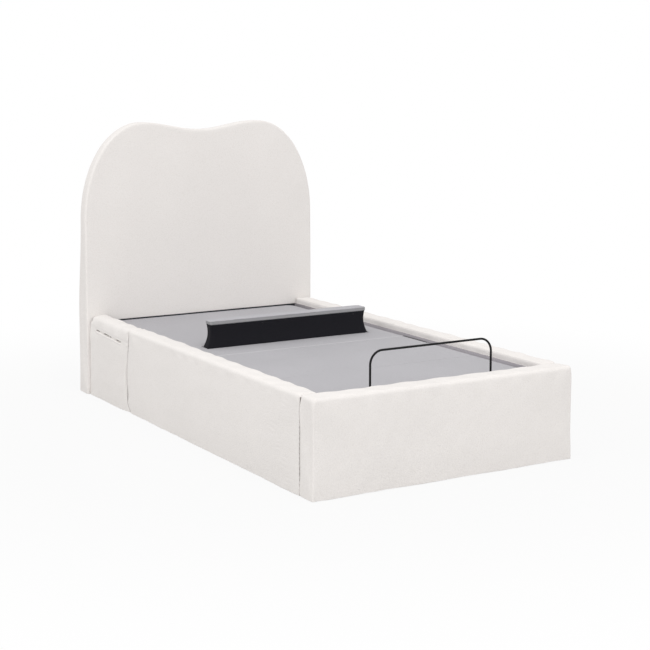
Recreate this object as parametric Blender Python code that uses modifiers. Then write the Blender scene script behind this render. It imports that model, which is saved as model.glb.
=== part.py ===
# Adjustable bed: an upholstered surround round a motorised base.
# The base has a back, a seat, a thigh and a leg section, and a lumbar strip that rises from the back.
# Metres, +Z up. +Y points at the headboard, and the origin is on the floor under the middle of the bed.

import bmesh
import bpy
from math import cos, pi, radians, sin, tan
from mathutils import Matrix, Vector

# Overall sizes of the upholstered surround
BED_LENGTH = 2.289
RAILS_WIDTH = 1.25
RAIL_HEIGHT = 0.40
RAIL_THICKNESS = 0.086
FOOTBOARD_THICKNESS = 0.10
HEADBOARD_THICKNESS = 0.12
HEADBOARD_WIDTH = 1.286
HEADBOARD_HEIGHT = 1.341
HEADBOARD_SHOULDER_HEIGHT = 0.86
HEADBOARD_PEAK_SPACING = 0.65
HEADBOARD_SADDLE_DROP = 0.040
HEADBOARD_EDGE_RADIUS = 0.035
RAIL_EDGE_RADIUS = 0.018
FLOOR_GAP = 0.006

# Boards and padding inside the surround
RAIL_BOARD_THICKNESS = 0.034
HEADBOARD_BOARD_THICKNESS = 0.045
PAD_THICKNESS = 0.026
POCKET_RAIL_LENGTH = 0.4745

# Side pocket, sunk in the padding of the short rail
POCKET_WIDTH = 0.30
POCKET_BAG_HEIGHT = 0.235
POCKET_BAG_THICKNESS = 0.020
POCKET_BAG_WALL = 0.0025
POCKET_SLIT_HEIGHT = 0.015
POCKET_SLIT_BELOW_TOP = 0.057
POCKET_FROM_HEADBOARD = 0.078

# Deck sections, whose lengths from hinge axis to hinge axis are shares of the deck's length
DECK_BELOW_RAIL = 0.040
DECK_THICKNESS = 0.035
DECK_SIDE_GAP = 0.029
DECK_HEAD_GAP = 0.0125
DECK_FOOT_GAP = 0.0395
BACK_SHARE = 0.524
SEAT_SHARE = 0.1016
THIGH_SHARE = 0.1735
HINGE_ROUND = 0.008
HINGE_GAP = 0.0005
BACK_TRAVEL = radians(60)
THIGH_TRAVEL = radians(35)

# Hinge plates in the gap beside the deck
PLATE_THICKNESS = 0.004
PLATE_GAP = 0.0003
STUD_RADIUS = 0.0035
STUD_PLAY = 0.0004
BACK_PLATE_LENGTH = 0.20
BACK_PLATE_END_RADIUS = 0.012
LEG_PLATE_LENGTH = 0.12
PLATE_PAD_FROM_AXIS = 0.05
FLANGE_THICKNESS = 0.006

# Steel tubes of the base
BASE_TUBE_HEIGHT = 0.05
BASE_TUBE_WIDTH = 0.03
BASE_TUBE_INSET = 0.04
BASE_FOOT_GAP = 0.0145
BASE_HEAD_GAP = 0.0145
SECTION_TUBE_HEIGHT = 0.034
SECTION_TUBE_WIDTH = 0.025
LEG_RADIUS = 0.0225
LEG_FROM_TUBE_END = 0.22
HEAD_CROSS_FROM_TUBE_END = 0.12
BACK_CROSS_FROM_DECK_END = 0.05
LEVER_TUBE_FROM_AXIS = 0.045
SEAT_CROSS_FROM_AXIS = 0.155
CENTRE_CROSS_FROM_KNEE = 0.08

# Corner brackets that join the surround and carry it
BRACKET_THICKNESS = 0.005
BRACKET_WIDTH = 0.06
JOINT_PLATE_LENGTH = 0.12
JOINT_PLATE_ABOVE_FLOOR = 0.05
JOINT_PLATE_HEIGHT = 0.18

# Levers, arms and actuators under the deck
BACK_LEVER_DROP = 0.14
FOOT_LEVER_DROP = 0.12
LEVER_THICKNESS = 0.008
LEVER_EDGE = 0.009
PIN_RADIUS = 0.005
BACK_SLOT_PLAY = 0.0036
FOOT_SLOT_PLAY = 0.0012
SIDE_PLAY = 0.0005
ROD_PLAY = SIDE_PLAY / 2
CHEEK_THICKNESS = 0.006
CHEEK_RADIUS = 0.011
FORK_REACH = 0.031
FORK_WEB = 0.008
ACTUATOR_OFFSET = 0.12
ROD_RADIUS = 0.010
OUTER_TUBE_RADIUS = 0.020
GEARBOX_LENGTH = 0.06
GEARBOX_RADIUS = 0.026
TONGUE_LENGTH = 0.03
TONGUE_THICKNESS = 0.016
MOTOR_RADIUS = 0.024
MOTOR_LENGTH = 0.10
FORK_TO_TUBE_GAP = 0.022
ROD_INSIDE_TUBE = 0.02
TORSION_TUBE_RADIUS = 0.016
TORSION_BELOW_BASE_TOP = 0.020
TORSION_FROM_KNEE = 0.02
TORSION_END_GAP = 0.002
BEARING_LENGTH = 0.035
BEARING_EDGE = 0.010
ARM_FROM_TUBE = 0.14
ARM_END_RADIUS = 0.013
ARM_PIN_PLAY = 0.0008

# Lumbar strip. Its length is a share of the deck's width, and the cradle and posts are shares of that
LUMBAR_FROM_AXIS = 0.195
LUMBAR_TRAVEL = 0.127
LUMBAR_LENGTH_SHARE = 0.8088
LUMBAR_CUSHION_DEPTH = 0.055
LUMBAR_CUSHION_THICKNESS = 0.020
LUMBAR_CUSHION_CROWN = 0.003
LUMBAR_BOARD_THICKNESS = 0.015
LUMBAR_BOARD_INSET = 0.008
SKIRT_BASE_FLARE = 0.013
SKIRT_BASE_DEPTH_FLARE = 0.005
SKIRT_WAIST = 0.005
SKIRT_WALL = 0.0025
SKIRT_HEM = 0.0025
SLOT_PLAY = 0.004
CRADLE_SHARE = 0.7272
CRADLE_WALL = 0.003
CRADLE_DEPTH = 0.040
CRADLE_SIDE = 0.008
POST_RADIUS = 0.008
POST_SPACING_SHARE = 0.7333
POST_PLAY = 0.0005
GUIDE_WALL = 0.007
GUIDE_LENGTH = 0.05
SCREW_RADIUS = 0.009
SCREW_TUBE_RADIUS = 0.020
SCREW_TUBE_FLOOR = 0.004

# Control box on the base's side tube
CONTROL_BOX_WIDTH = 0.07
CONTROL_BOX_LENGTH = 0.15
CONTROL_BOX_HEIGHT = 0.04
SOCKET_WIDTH = 0.016
SOCKET_HEIGHT = 0.012
SOCKET_DEPTH = 0.012
SOCKET_SPACING = 0.035

# Mattress retainer bar at the foot
RETAINER_WIDTH = 0.584
RETAINER_TOP_ABOVE_RAIL = 0.13
RETAINER_WIRE_RADIUS = 0.0045
RETAINER_BEND_RADIUS = 0.055
RETAINER_FROM_DECK_END = 0.015
RETAINER_SOCKET_WALL = 0.008
RETAINER_SOCKET_DROP = 0.015
RETAINER_SOCKET_HEIGHT = 0.05
RETAINER_PLAY = 0.0005

# Clearance between pieces that touch, and how far a cutter or a joined shape runs past a face
FIT = 0.0003
OVERRUN = 0.004
JOIN = 0.001

# Points closer than this are one point, and bends flatter than these are straight
WELD = 0.00001
FLAT_TURN = 0.001
FLAT_AREA = 1e-9

# Places worked out from the sizes above
foot_face = -BED_LENGTH / 2 + FOOTBOARD_THICKNESS
head_face = BED_LENGTH / 2 - HEADBOARD_THICKNESS
rail_inner = RAILS_WIDTH / 2 - RAIL_THICKNESS
deck_half = rail_inner - DECK_SIDE_GAP
deck_top = RAIL_HEIGHT - DECK_BELOW_RAIL
deck_bottom = deck_top - DECK_THICKNESS
back_end = head_face - DECK_HEAD_GAP
leg_end = foot_face + DECK_FOOT_GAP
deck_length = back_end - leg_end
back_axis = Vector((0, back_end - deck_length * BACK_SHARE, deck_top - HINGE_ROUND))
thigh_axis = back_axis - Vector((0, deck_length * SEAT_SHARE, 0))
knee_axis = Vector((0, thigh_axis.y - deck_length * THIGH_SHARE, deck_bottom + HINGE_ROUND))
section_bottom = deck_bottom - FIT - SECTION_TUBE_HEIGHT
base_top = section_bottom - FIT
base_bottom = base_top - BASE_TUBE_HEIGHT
tube_outer = deck_half - BASE_TUBE_INSET
tube_inner = tube_outer - BASE_TUBE_WIDTH
base_foot = foot_face + BASE_FOOT_GAP
base_head = head_face - BASE_HEAD_GAP
pocket_seam = head_face - POCKET_RAIL_LENGTH
plate_near = deck_half + FIT
plate_far = plate_near + PLATE_THICKNESS + PLATE_GAP
torsion_axis = Vector((0, knee_axis.y - TORSION_FROM_KNEE, base_top - TORSION_BELOW_BASE_TOP))
arm_end = torsion_axis + knee_axis - thigh_axis
arm_offset = tube_inner - ARM_FROM_TUBE
seat_cross = back_axis.y - SEAT_CROSS_FROM_AXIS
centre_cross = knee_axis.y + CENTRE_CROSS_FROM_KNEE
lumbar_y = back_axis.y + LUMBAR_FROM_AXIS
lumbar_half = deck_half * LUMBAR_LENGTH_SHARE
cradle_half = lumbar_half * CRADLE_SHARE
post_offset = cradle_half * POST_SPACING_SHARE
skirt_top = deck_top + LUMBAR_TRAVEL - LUMBAR_CUSHION_THICKNESS - LUMBAR_CUSHION_CROWN - FIT
cradle_bottom = deck_bottom - CRADLE_DEPTH
retainer_y = leg_end - RETAINER_FROM_DECK_END

# Surface finishes: colour, roughness, metallic
FINISHES = {
    "boucle": ((0.80, 0.78, 0.75), 0.95, 0.0),
    "timber": ((0.56, 0.42, 0.28), 0.80, 0.0),
    "deck_fabric": ((0.50, 0.50, 0.53), 0.90, 0.0),
    "black_stretch": ((0.012, 0.012, 0.016), 0.85, 0.0),
    "black_steel": ((0.03, 0.03, 0.035), 0.45, 0.6),
    "zinc_steel": ((0.62, 0.62, 0.63), 0.35, 0.9),
    "black_plastic": ((0.02, 0.02, 0.022), 0.55, 0.0),
}

for old in list(bpy.data.objects):
    bpy.data.objects.remove(old, do_unlink=True)

parts = bpy.data.collections.new("adjustable_bed")
tools = bpy.data.collections.new("cutters")
bpy.context.scene.collection.children.link(parts)
bpy.context.scene.collection.children.link(tools)


def pivot(name, place):
    """An empty on a joint's axis, which carries the pieces that move there."""
    empty = bpy.data.objects.new(name, None)
    empty.empty_display_size = HINGE_ROUND
    empty.location = place
    parts.objects.link(empty)
    return empty


def finish(obj, kind, owner=None):
    """Puts an object among the parts, with a material of its own, on the pivot that carries it."""
    colour, roughness, metallic = FINISHES[kind]
    skin = bpy.data.materials.new(obj.name + "_finish")
    skin.use_nodes = True
    shader = skin.node_tree.nodes["Principled BSDF"]
    shader.inputs["Base Color"].default_value = (*colour, 1)
    shader.inputs["Roughness"].default_value = roughness
    shader.inputs["Metallic"].default_value = metallic
    obj.data.materials.append(skin)
    parts.objects.link(obj)
    if owner:
        obj.parent = owner
        obj.matrix_parent_inverse = Matrix.Translation(-owner.location)
    return obj


def as_tool(obj):
    """Puts an object among the cutters, which take part in Booleans only."""
    tools.objects.link(obj)
    obj.hide_render = True
    obj.display_type = "WIRE"
    return obj


def boolean(obj, operation, others):
    for other in others:
        step = obj.modifiers.new(operation.lower(), "BOOLEAN")
        step.operation = operation
        step.solver = "EXACT"
        step.object = as_tool(other)
    return obj


def unite(obj, *others):
    return boolean(obj, "UNION", others)


def subtract(obj, *others):
    return boolean(obj, "DIFFERENCE", others)


def mesh_object(name, shape, place):
    data = bpy.data.meshes.new(name)
    shape.to_mesh(data)
    shape.free()
    obj = bpy.data.objects.new(name, data)
    obj.location = place
    return obj


def block(name, low, high):
    """A box between two corners, with its origin in its middle."""
    low = Vector(low)
    high = Vector(high)
    shape = bmesh.new()
    bmesh.ops.create_cube(shape, size=1)
    bmesh.ops.scale(shape, vec=high - low, verts=shape.verts)
    return mesh_object(name, shape, (low + high) / 2)


def bar(name, start, end, radius, sides=16):
    """A round bar between two points."""
    start = Vector(start)
    end = Vector(end)
    run = end - start
    shape = bmesh.new()
    bmesh.ops.create_cone(
        shape, cap_ends=True, segments=sides, radius1=radius, radius2=radius, depth=run.length
    )
    turn = run.to_track_quat("Z", "Y").to_matrix()
    bmesh.ops.rotate(shape, cent=(0, 0, 0), matrix=turn, verts=shape.verts)
    obj = mesh_object(name, shape, (start + end) / 2)
    obj.data.shade_smooth()
    obj.data.set_sharp_from_angle(angle=pi / 5)
    return obj


def cross_bar(name, middle, half, radius, sides=16):
    """A round bar along X through a point."""
    reach = Vector((half, 0, 0))
    return bar(name, Vector(middle) - reach, Vector(middle) + reach, radius, sides)


def slab(name, outline, thickness, turn, place):
    """A flat outline given half its thickness each way, as a welded mesh, then turned and placed."""
    curve = bpy.data.curves.new(name, "CURVE")
    curve.dimensions = "2D"
    curve.fill_mode = "BOTH"
    curve.extrude = thickness / 2
    line = curve.splines.new("POLY")
    line.points.add(len(outline) - 1)
    for point, (u, v) in zip(line.points, outline):
        point.co = (u, v, 0, 1)
    line.use_cyclic_u = True
    source = bpy.data.objects.new(name + "_outline", curve)
    bpy.context.scene.collection.objects.link(source)
    depsgraph = bpy.context.evaluated_depsgraph_get()
    data = bpy.data.meshes.new_from_object(source.evaluated_get(depsgraph))
    bpy.data.objects.remove(source, do_unlink=True)
    shape = bmesh.new()
    shape.from_mesh(data)
    bmesh.ops.remove_doubles(shape, verts=shape.verts, dist=WELD)
    bmesh.ops.recalc_face_normals(shape, faces=shape.faces)
    bmesh.ops.dissolve_limit(shape, angle_limit=FLAT_TURN, verts=shape.verts, edges=shape.edges)
    bmesh.ops.transform(shape, matrix=turn, verts=shape.verts)
    bpy.data.meshes.remove(data)
    return mesh_object(name, shape, place)


SIDEWAYS = Matrix(((0, 0, 1, 0), (1, 0, 0, 0), (0, 1, 0, 0), (0, 0, 0, 1)))
UPRIGHT = Matrix.Rotation(pi / 2, 4, "X")


def side_plate(name, outline, near, far):
    """An outline in Y and Z that fills X from near to far."""
    low, high = sorted((near, far))
    return slab(name, outline, high - low, SIDEWAYS, ((low + high) / 2, 0, 0))


def circle(centre, radius, steps=24):
    turns = [2 * pi * step / steps for step in range(steps)]
    return [(centre[0] + radius * cos(a), centre[1] + radius * sin(a)) for a in turns]


def hull(points):
    """The convex outline round a set of points, anticlockwise."""
    points = sorted(set(points))
    loops = []
    for run in (points, points[::-1]):
        chain = []
        for p in run:
            while len(chain) > 1:
                a, b = chain[-2], chain[-1]
                turn = (b[0] - a[0]) * (p[1] - a[1]) - (b[1] - a[1]) * (p[0] - a[0])
                if turn > FLAT_AREA:
                    break
                chain.pop()
            chain.append(p)
        loops += chain[:-1]
    return loops


def yz(point):
    return (point[1], point[2])


def round_hull(*circles):
    """The outline round circles that are given as a point and a radius."""
    return hull([p for centre, radius in circles for p in circle(yz(centre), radius)])


def soften(obj, radius, segments=4):
    step = obj.modifiers.new("soft_edges", "BEVEL")
    step.width = radius
    step.segments = segments
    step.limit_method = "ANGLE"
    step.angle_limit = pi / 4
    return obj


def below_floor_gap(name):
    """Trims the padding level, just above the floor."""
    reach = BED_LENGTH
    return block(name + "_floor_trim", (-reach, -reach, -reach), (reach, reach, FLOOR_GAP))


# Upholstered rails and footboard: a board with a padded cover over it, open underneath
def padded_panel(name, low, high, outer_side):
    """A board and its cover. The cover fills the box, and the board stands inside it by the padding.

    outer_side is the axis and the sign of the face with the thick pad, which takes what the thin pads leave.
    """
    low = Vector((*low, FLOOR_GAP))
    high = Vector((*high, RAIL_HEIGHT))
    axis, sign = outer_side
    pads_low = [PAD_THICKNESS, PAD_THICKNESS, 0]
    pads_high = [PAD_THICKNESS, PAD_THICKNESS, PAD_THICKNESS]
    spare = high[axis] - low[axis] - RAIL_BOARD_THICKNESS
    thin = spare - PAD_THICKNESS
    pads_low[axis], pads_high[axis] = (thin, PAD_THICKNESS) if sign > 0 else (PAD_THICKNESS, thin)
    board_low = low + Vector(pads_low)
    board_high = high - Vector(pads_high)
    gap = Vector((FIT, FIT, FIT))
    cavity_low = board_low - gap
    cavity_low.z -= OVERRUN
    below = Vector((0, 0, RAIL_EDGE_RADIUS * 2))
    cover = soften(block(name + "_cover", low - below, high), RAIL_EDGE_RADIUS)
    subtract(cover, below_floor_gap(name), block(name + "_cavity", cavity_low, board_high + gap))
    finish(cover, "boucle")
    finish(block(name + "_board", board_low, board_high), "timber")
    return cover


def make_surround():
    half = RAILS_WIDTH / 2
    foot = foot_face + FIT
    head = head_face - FIT
    padded_panel("footboard", (-half, -BED_LENGTH / 2), (half, foot_face), (1, -1))
    padded_panel("right_rail", (rail_inner, foot), (half, head), (0, 1))
    padded_panel("left_rail", (-half, foot), (-rail_inner, pocket_seam - FIT), (0, -1))
    cover = padded_panel("pocket_rail", (-half, pocket_seam), (-rail_inner, head), (0, -1))
    make_pocket(cover)
    make_headboard()


def make_pocket(cover):
    """A flat bag in a recess of the short rail's padding, open along a slit near the rail's top."""
    face = -RAILS_WIDTH / 2
    back = face + POCKET_BAG_THICKNESS
    y_high = head_face - POCKET_FROM_HEADBOARD
    y_low = y_high - POCKET_WIDTH
    z_slit = RAIL_HEIGHT - POCKET_SLIT_BELOW_TOP
    z_bag = z_slit - POCKET_SLIT_HEIGHT
    z_low = z_bag - POCKET_BAG_HEIGHT
    recess = block("pocket_recess", (face - OVERRUN, y_low, z_low), (back, y_high, z_slit))
    subtract(cover, recess)
    gap = Vector((0, FIT, FIT))
    bag_low = Vector((face, y_low, z_low)) + gap
    bag_high = Vector((back - FIT, y_high - FIT, z_bag))
    wall = Vector((POCKET_BAG_WALL, POCKET_BAG_WALL, POCKET_BAG_WALL))
    inside_high = bag_high - wall
    inside_high.z = bag_high.z + OVERRUN
    bag = block("side_pocket", bag_low, bag_high)
    subtract(bag, block("side_pocket_inside", bag_low + wall, inside_high))
    finish(bag, "boucle")


def headboard_outline(inset, base):
    """Half an ellipse's shoulder rises to a peak on each side, and the top dips in a saddle between them.

    The outline is drawn in by inset all round, apart from its level foot at height base.
    """
    half = HEADBOARD_WIDTH / 2
    peak = HEADBOARD_PEAK_SPACING / 2
    wide = half - peak - inset
    tall = HEADBOARD_HEIGHT - HEADBOARD_SHOULDER_HEIGHT - inset
    steps = 14
    right = [(half - inset, base)]
    for step in range(steps + 1):
        a = pi / 2 * step / steps
        right.append((peak + wide * cos(a), HEADBOARD_SHOULDER_HEIGHT + tall * sin(a)))
    saddle = HEADBOARD_HEIGHT - HEADBOARD_SADDLE_DROP - inset
    for step in range(steps - 1, 0, -1):
        share = step / steps
        rise = HEADBOARD_SADDLE_DROP * sin(pi / 2 * share) ** 2
        right.append((peak * share, saddle + rise))
    left = [(-x, z) for x, z in reversed(right)]
    return right + [(0, saddle)] + left


def make_headboard():
    """The board is cut from sheet timber, and the padding wraps its front, edges and back."""
    middle = BED_LENGTH / 2 - HEADBOARD_THICKNESS / 2
    deep = FLOOR_GAP - 2 * HEADBOARD_EDGE_RADIUS
    place = (0, middle, 0)
    outline = headboard_outline(0, deep)
    cover = slab("headboard_cover", outline, HEADBOARD_THICKNESS, UPRIGHT, place)
    soften(cover, HEADBOARD_EDGE_RADIUS)
    inset = PAD_THICKNESS
    cavity = slab(
        "headboard_cavity",
        headboard_outline(inset - FIT, deep - OVERRUN),
        HEADBOARD_BOARD_THICKNESS + 2 * FIT,
        UPRIGHT,
        place,
    )
    subtract(cover, below_floor_gap("headboard"), cavity)
    finish(cover, "boucle")
    board = slab(
        "headboard_board", headboard_outline(inset, FLOOR_GAP), HEADBOARD_BOARD_THICKNESS, UPRIGHT, place
    )
    finish(board, "timber")


def make_corner_bracket(name, x_sign, y_sign):
    """A steel angle in the surround's corner, on the floor. Its tab carries a side tube's end."""
    x_face = rail_inner - FIT
    y_face = (head_face if y_sign > 0 else -foot_face) - FIT
    tube_end = base_head if y_sign > 0 else -base_foot
    tab_top = base_bottom - FIT

    def corner(x, y, z):
        return (x_sign * x, y_sign * y, z)

    def piece(label, a, b):
        low = [min(p, q) for p, q in zip(a, b)]
        high = [max(p, q) for p, q in zip(a, b)]
        return block(name + label, low, high)

    outside = corner(x_face, y_face, 0)
    on_rail = piece("", outside, corner(x_face - BRACKET_THICKNESS, y_face - BRACKET_WIDTH, tab_top))
    on_end = piece("_flange", outside, corner(x_face - BRACKET_WIDTH, y_face - BRACKET_THICKNESS, tab_top))
    tab = piece(
        "_tab",
        corner(x_face, y_face, tab_top - BRACKET_THICKNESS),
        corner(tube_inner, tube_end - BASE_TUBE_WIDTH, tab_top),
    )
    finish(unite(on_rail, on_end, tab), "black_steel")


def make_joint_plate():
    """A flat plate on the inner face, across the seam between the two lengths of the left rail."""
    x = -rail_inner + FIT
    half = JOINT_PLATE_LENGTH / 2
    top = JOINT_PLATE_ABOVE_FLOOR + JOINT_PLATE_HEIGHT
    low = (x, pocket_seam - half, JOINT_PLATE_ABOVE_FLOOR)
    high = (x + BRACKET_THICKNESS, pocket_seam + half, top)
    finish(block("left_rail_joint_plate", low, high), "black_steel")


def cross_tube(name, y):
    """A square tube between the base's side tubes."""
    reach = tube_inner - FIT
    half = BASE_TUBE_WIDTH / 2
    return block(name, (-reach, y - half, base_bottom), (reach, y + half, base_top))


def make_base():
    for side, sign in (("left", -1), ("right", 1)):
        near, far = sorted((sign * tube_inner, sign * tube_outer))
        tube = block("base_side_tube_" + side, (near, base_foot, base_bottom), (far, base_head, base_top))
        finish(tube, "black_steel")
        middle = (near + far) / 2
        for end, y in (("foot", base_foot + LEG_FROM_TUBE_END), ("head", base_head - LEG_FROM_TUBE_END)):
            name = "base_leg_" + end + "_" + side
            leg = bar(name, (middle, y, 0), (middle, y, base_bottom - FIT), LEG_RADIUS, 24)
            finish(leg, "black_plastic")
    finish(cross_tube("base_foot_cross_tube", base_foot + BASE_TUBE_WIDTH / 2), "black_steel")
    finish(cross_tube("base_head_cross_tube", base_head - HEAD_CROSS_FROM_TUBE_END), "black_steel")


def deck_outline(low, high, rounds):
    """A deck section in Y and Z. Each round is an end (-1 or 1) and an axis that the end is rounded about.

    The round stands out past the end by its radius, so the end turns about the axis in its own space.
    """
    corners = {}
    for end, y in ((-1, low), (1, high)):
        axis = rounds.get(end)
        if not axis:
            corners[end] = [(y, deck_bottom), (y, deck_top)]
            continue
        steps = 8
        arc = []
        for step in range(steps + 1):
            a = -pi / 2 + pi * step / steps
            arc.append((axis.y + end * HINGE_ROUND * cos(a), axis.z + HINGE_ROUND * sin(a)))
        at_top = axis.z > (deck_bottom + deck_top) / 2
        corners[end] = [(axis.y, deck_bottom)] + arc if at_top else arc + [(axis.y, deck_top)]
    return corners[1] + corners[-1][::-1]


def deck_section(name, low, high, rounds, owner=None, slot=None):
    deck = side_plate(name, deck_outline(low, high, rounds), -deck_half, deck_half)
    if slot:
        subtract(deck, slot)
    return finish(deck, "deck_fabric", owner)


def stud(name, x_sign, axis):
    """A pivot stud that stands inwards from an outer hinge plate, through the inner plate's hole."""
    near = x_sign * (plate_near + FIT)
    far = x_sign * (plate_far + JOIN)
    return bar(name, (near, axis.y, axis.z), (far, axis.y, axis.z), STUD_RADIUS)


def stud_hole(name, x_sign, axis):
    low = plate_near - OVERRUN
    high = plate_far + OVERRUN
    radius = STUD_RADIUS + STUD_PLAY
    return bar(name, (x_sign * low, axis.y, axis.z), (x_sign * high, axis.y, axis.z), radius)


def inner_plate(name, outline, x_sign, holes, owner):
    """A hinge plate against the deck's edge, with a hole on each axis."""
    plate = side_plate(name, outline, x_sign * plate_near, x_sign * (plate_near + PLATE_THICKNESS))
    subtract(plate, *[stud_hole(name + "_hole", x_sign, axis) for axis in holes])
    finish(plate, "zinc_steel", owner)


def outer_plate(name, outline, x_sign, pad_low, pad_high, axes, more=()):
    """A hinge plate that stands off the deck's edge by a pad and carries a stud on each axis."""
    plate = side_plate(name, outline, x_sign * plate_far, x_sign * (plate_far + PLATE_THICKNESS))
    near, far = sorted((x_sign * plate_near, x_sign * (plate_far + JOIN)))
    pad = block(name + "_pad", (near, *pad_low), (far, *pad_high))
    return unite(plate, pad, *more, *[stud(name + "_stud", x_sign, axis) for axis in axes])


def make_seat():
    low = thigh_axis.y + HINGE_ROUND + HINGE_GAP
    high = back_axis.y - HINGE_ROUND - HINGE_GAP
    deck_section("seat_deck", low, high, {})
    plate_low = deck_bottom - FIT - FLANGE_THICKNESS / 2
    pad_low = thigh_axis.y + PLATE_PAD_FROM_AXIS
    pad_high = back_axis.y - PLATE_PAD_FROM_AXIS
    deeper = plate_low + HINGE_ROUND
    outline = round_hull(
        (back_axis, HINGE_ROUND),
        (thigh_axis, HINGE_ROUND),
        ((0, pad_low, deeper), HINGE_ROUND),
        ((0, pad_high, deeper), HINGE_ROUND),
    )
    for side, sign in (("left", -1), ("right", 1)):
        name = "seat_hinge_bracket_" + side
        flange_top = deck_bottom - FIT
        low, high = pad_low + JOIN, pad_high - JOIN
        near, far = sorted((sign * tube_inner, sign * (plate_far + PLATE_THICKNESS / 2)))
        flange = block(name + "_flange", (near, low, flange_top - FLANGE_THICKNESS), (far, high, flange_top))
        low, high = low + JOIN, high - JOIN
        near, far = sorted((sign * (tube_inner + JOIN), sign * tube_outer))
        riser_top = flange_top - FLANGE_THICKNESS / 2
        riser = block(name + "_riser", (near, low, base_top + FIT), (far, high, riser_top))
        pad_bottom = (pad_low, deeper)
        pad_top = (pad_high, back_axis.z)
        axes = (back_axis, thigh_axis)
        bracket = outer_plate(name, outline, sign, pad_bottom, pad_top, axes, (flange, riser))
        finish(bracket, "black_steel")


def make_back(owner):
    """The back deck on its own tubes, with a slot for the lumbar strip."""
    slot_x = lumbar_half + SKIRT_BASE_FLARE + SLOT_PLAY
    slot_y = LUMBAR_CUSHION_DEPTH / 2 + SKIRT_BASE_DEPTH_FLARE + SLOT_PLAY
    slot = block(
        "lumbar_slot",
        (-slot_x, lumbar_y - slot_y, deck_bottom - OVERRUN),
        (slot_x, lumbar_y + slot_y, deck_top + OVERRUN),
    )
    deck_section("back_deck", back_axis.y, back_end, {-1: back_axis}, owner, slot)

    lever_y = back_axis.y + LEVER_TUBE_FROM_AXIS
    tube_top = deck_bottom - FIT
    half = SECTION_TUBE_WIDTH / 2
    for side, sign in (("left", -1), ("right", 1)):
        near, far = sorted((sign * tube_inner, sign * (tube_inner + SECTION_TUBE_WIDTH)))
        low = (near, lever_y - half, section_bottom)
        tube = block("back_side_tube_" + side, low, (far, back_end, tube_top))
        finish(tube, "black_steel", owner)
        tip = back_axis + Vector((0, BACK_PLATE_LENGTH, (deck_bottom + deck_top) / 2 - back_axis.z))
        outline = round_hull((back_axis, HINGE_ROUND), (tip, BACK_PLATE_END_RADIUS))
        inner_plate("back_hinge_plate_" + side, outline, sign, (back_axis,), owner)

    reach = tube_inner - FIT
    y = back_end - BACK_CROSS_FROM_DECK_END
    top_tube = block("back_head_cross_tube", (-reach, y - half, section_bottom), (reach, y + half, tube_top))
    finish(top_tube, "black_steel", owner)

    swing = BACK_TRAVEL / 2
    down = Vector((0, -sin(swing), -cos(swing)))
    slot_top = back_axis + down * BACK_LEVER_DROP
    slot_end = back_axis + down * (BACK_LEVER_DROP / cos(swing))
    slot_radius = PIN_RADIUS + BACK_SLOT_PLAY
    root = Vector((0, lever_y, (section_bottom + tube_top) / 2))
    low = (-reach, lever_y - half, section_bottom)
    lever_tube = block("back_lever_tube", low, (reach, lever_y + half, tube_top))
    lever = lever_plate("back_lever", ACTUATOR_OFFSET, root, half, slot_top, slot_end, slot_radius)
    unite(lever_tube, lever)
    subtract(lever_tube, lever_slot("back_lever", ACTUATOR_OFFSET, slot_top, slot_end, slot_radius))
    finish(lever_tube, "black_steel", owner)


def lever_plate(name, x, root, root_radius, slot_top, slot_end, slot_radius):
    edge = slot_radius + LEVER_EDGE
    outline = round_hull((root, root_radius), (slot_top, edge), (slot_end, edge))
    return side_plate(name + "_plate", outline, x - LEVER_THICKNESS / 2, x + LEVER_THICKNESS / 2)


def lever_slot(name, x, slot_top, slot_end, slot_radius):
    outline = round_hull((slot_top, slot_radius), (slot_end, slot_radius))
    reach = LEVER_THICKNESS / 2 + OVERRUN
    return side_plate(name + "_slot", outline, x - reach, x + reach)


def make_thigh(owner):
    high = thigh_axis.y
    low = knee_axis.y + HINGE_ROUND + HINGE_GAP
    deck_section("thigh_deck", low, high, {1: thigh_axis}, owner)
    outline = round_hull((thigh_axis, HINGE_ROUND), (knee_axis, HINGE_ROUND))
    for side, sign in (("left", -1), ("right", 1)):
        inner_plate("thigh_hinge_plate_" + side, outline, sign, (thigh_axis, knee_axis), owner)


def make_leg(owner):
    deck_section("leg_deck", leg_end, knee_axis.y, {1: knee_axis}, owner)
    tip = knee_axis - Vector((0, LEG_PLATE_LENGTH, 0))
    outline = round_hull((knee_axis, HINGE_ROUND), (tip, HINGE_ROUND))
    half = HINGE_ROUND / 2
    for side, sign in (("left", -1), ("right", 1)):
        plate = outer_plate(
            "leg_hinge_plate_" + side,
            outline,
            sign,
            (tip.y, knee_axis.z - half),
            (knee_axis.y - PLATE_PAD_FROM_AXIS, knee_axis.z + half),
            (knee_axis,),
        )
        finish(plate, "zinc_steel", owner)

    reach = tube_inner - FIT
    half = SECTION_TUBE_WIDTH / 2
    tube_top = deck_bottom - FIT
    y = arm_end.y
    tube = block("leg_cross_bracket", (-reach, y - half, section_bottom), (reach, y + half, tube_top))
    for sign in (-1, 1):
        x = sign * arm_offset
        unite(tube, *clevis("leg_cross_bracket", (x, y, arm_end.z), LEVER_THICKNESS, section_bottom + JOIN))
    finish(tube, "black_steel", owner)


def clevis(name, pin, gap, top):
    """Two cheeks that hang from a tube round a gap, and the pin across them."""
    x, y, z = pin
    near = gap / 2 + SIDE_PLAY
    far = near + CHEEK_THICKNESS
    shapes = []
    for sign in (-1, 1):
        outline = round_hull(((0, y, z), CHEEK_RADIUS), ((0, y, top - CHEEK_RADIUS), CHEEK_RADIUS))
        shapes.append(side_plate(name + "_cheek", outline, x + sign * near, x + sign * far))
    shapes.append(cross_bar(name + "_pin", pin, far - JOIN, PIN_RADIUS))
    return shapes


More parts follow.
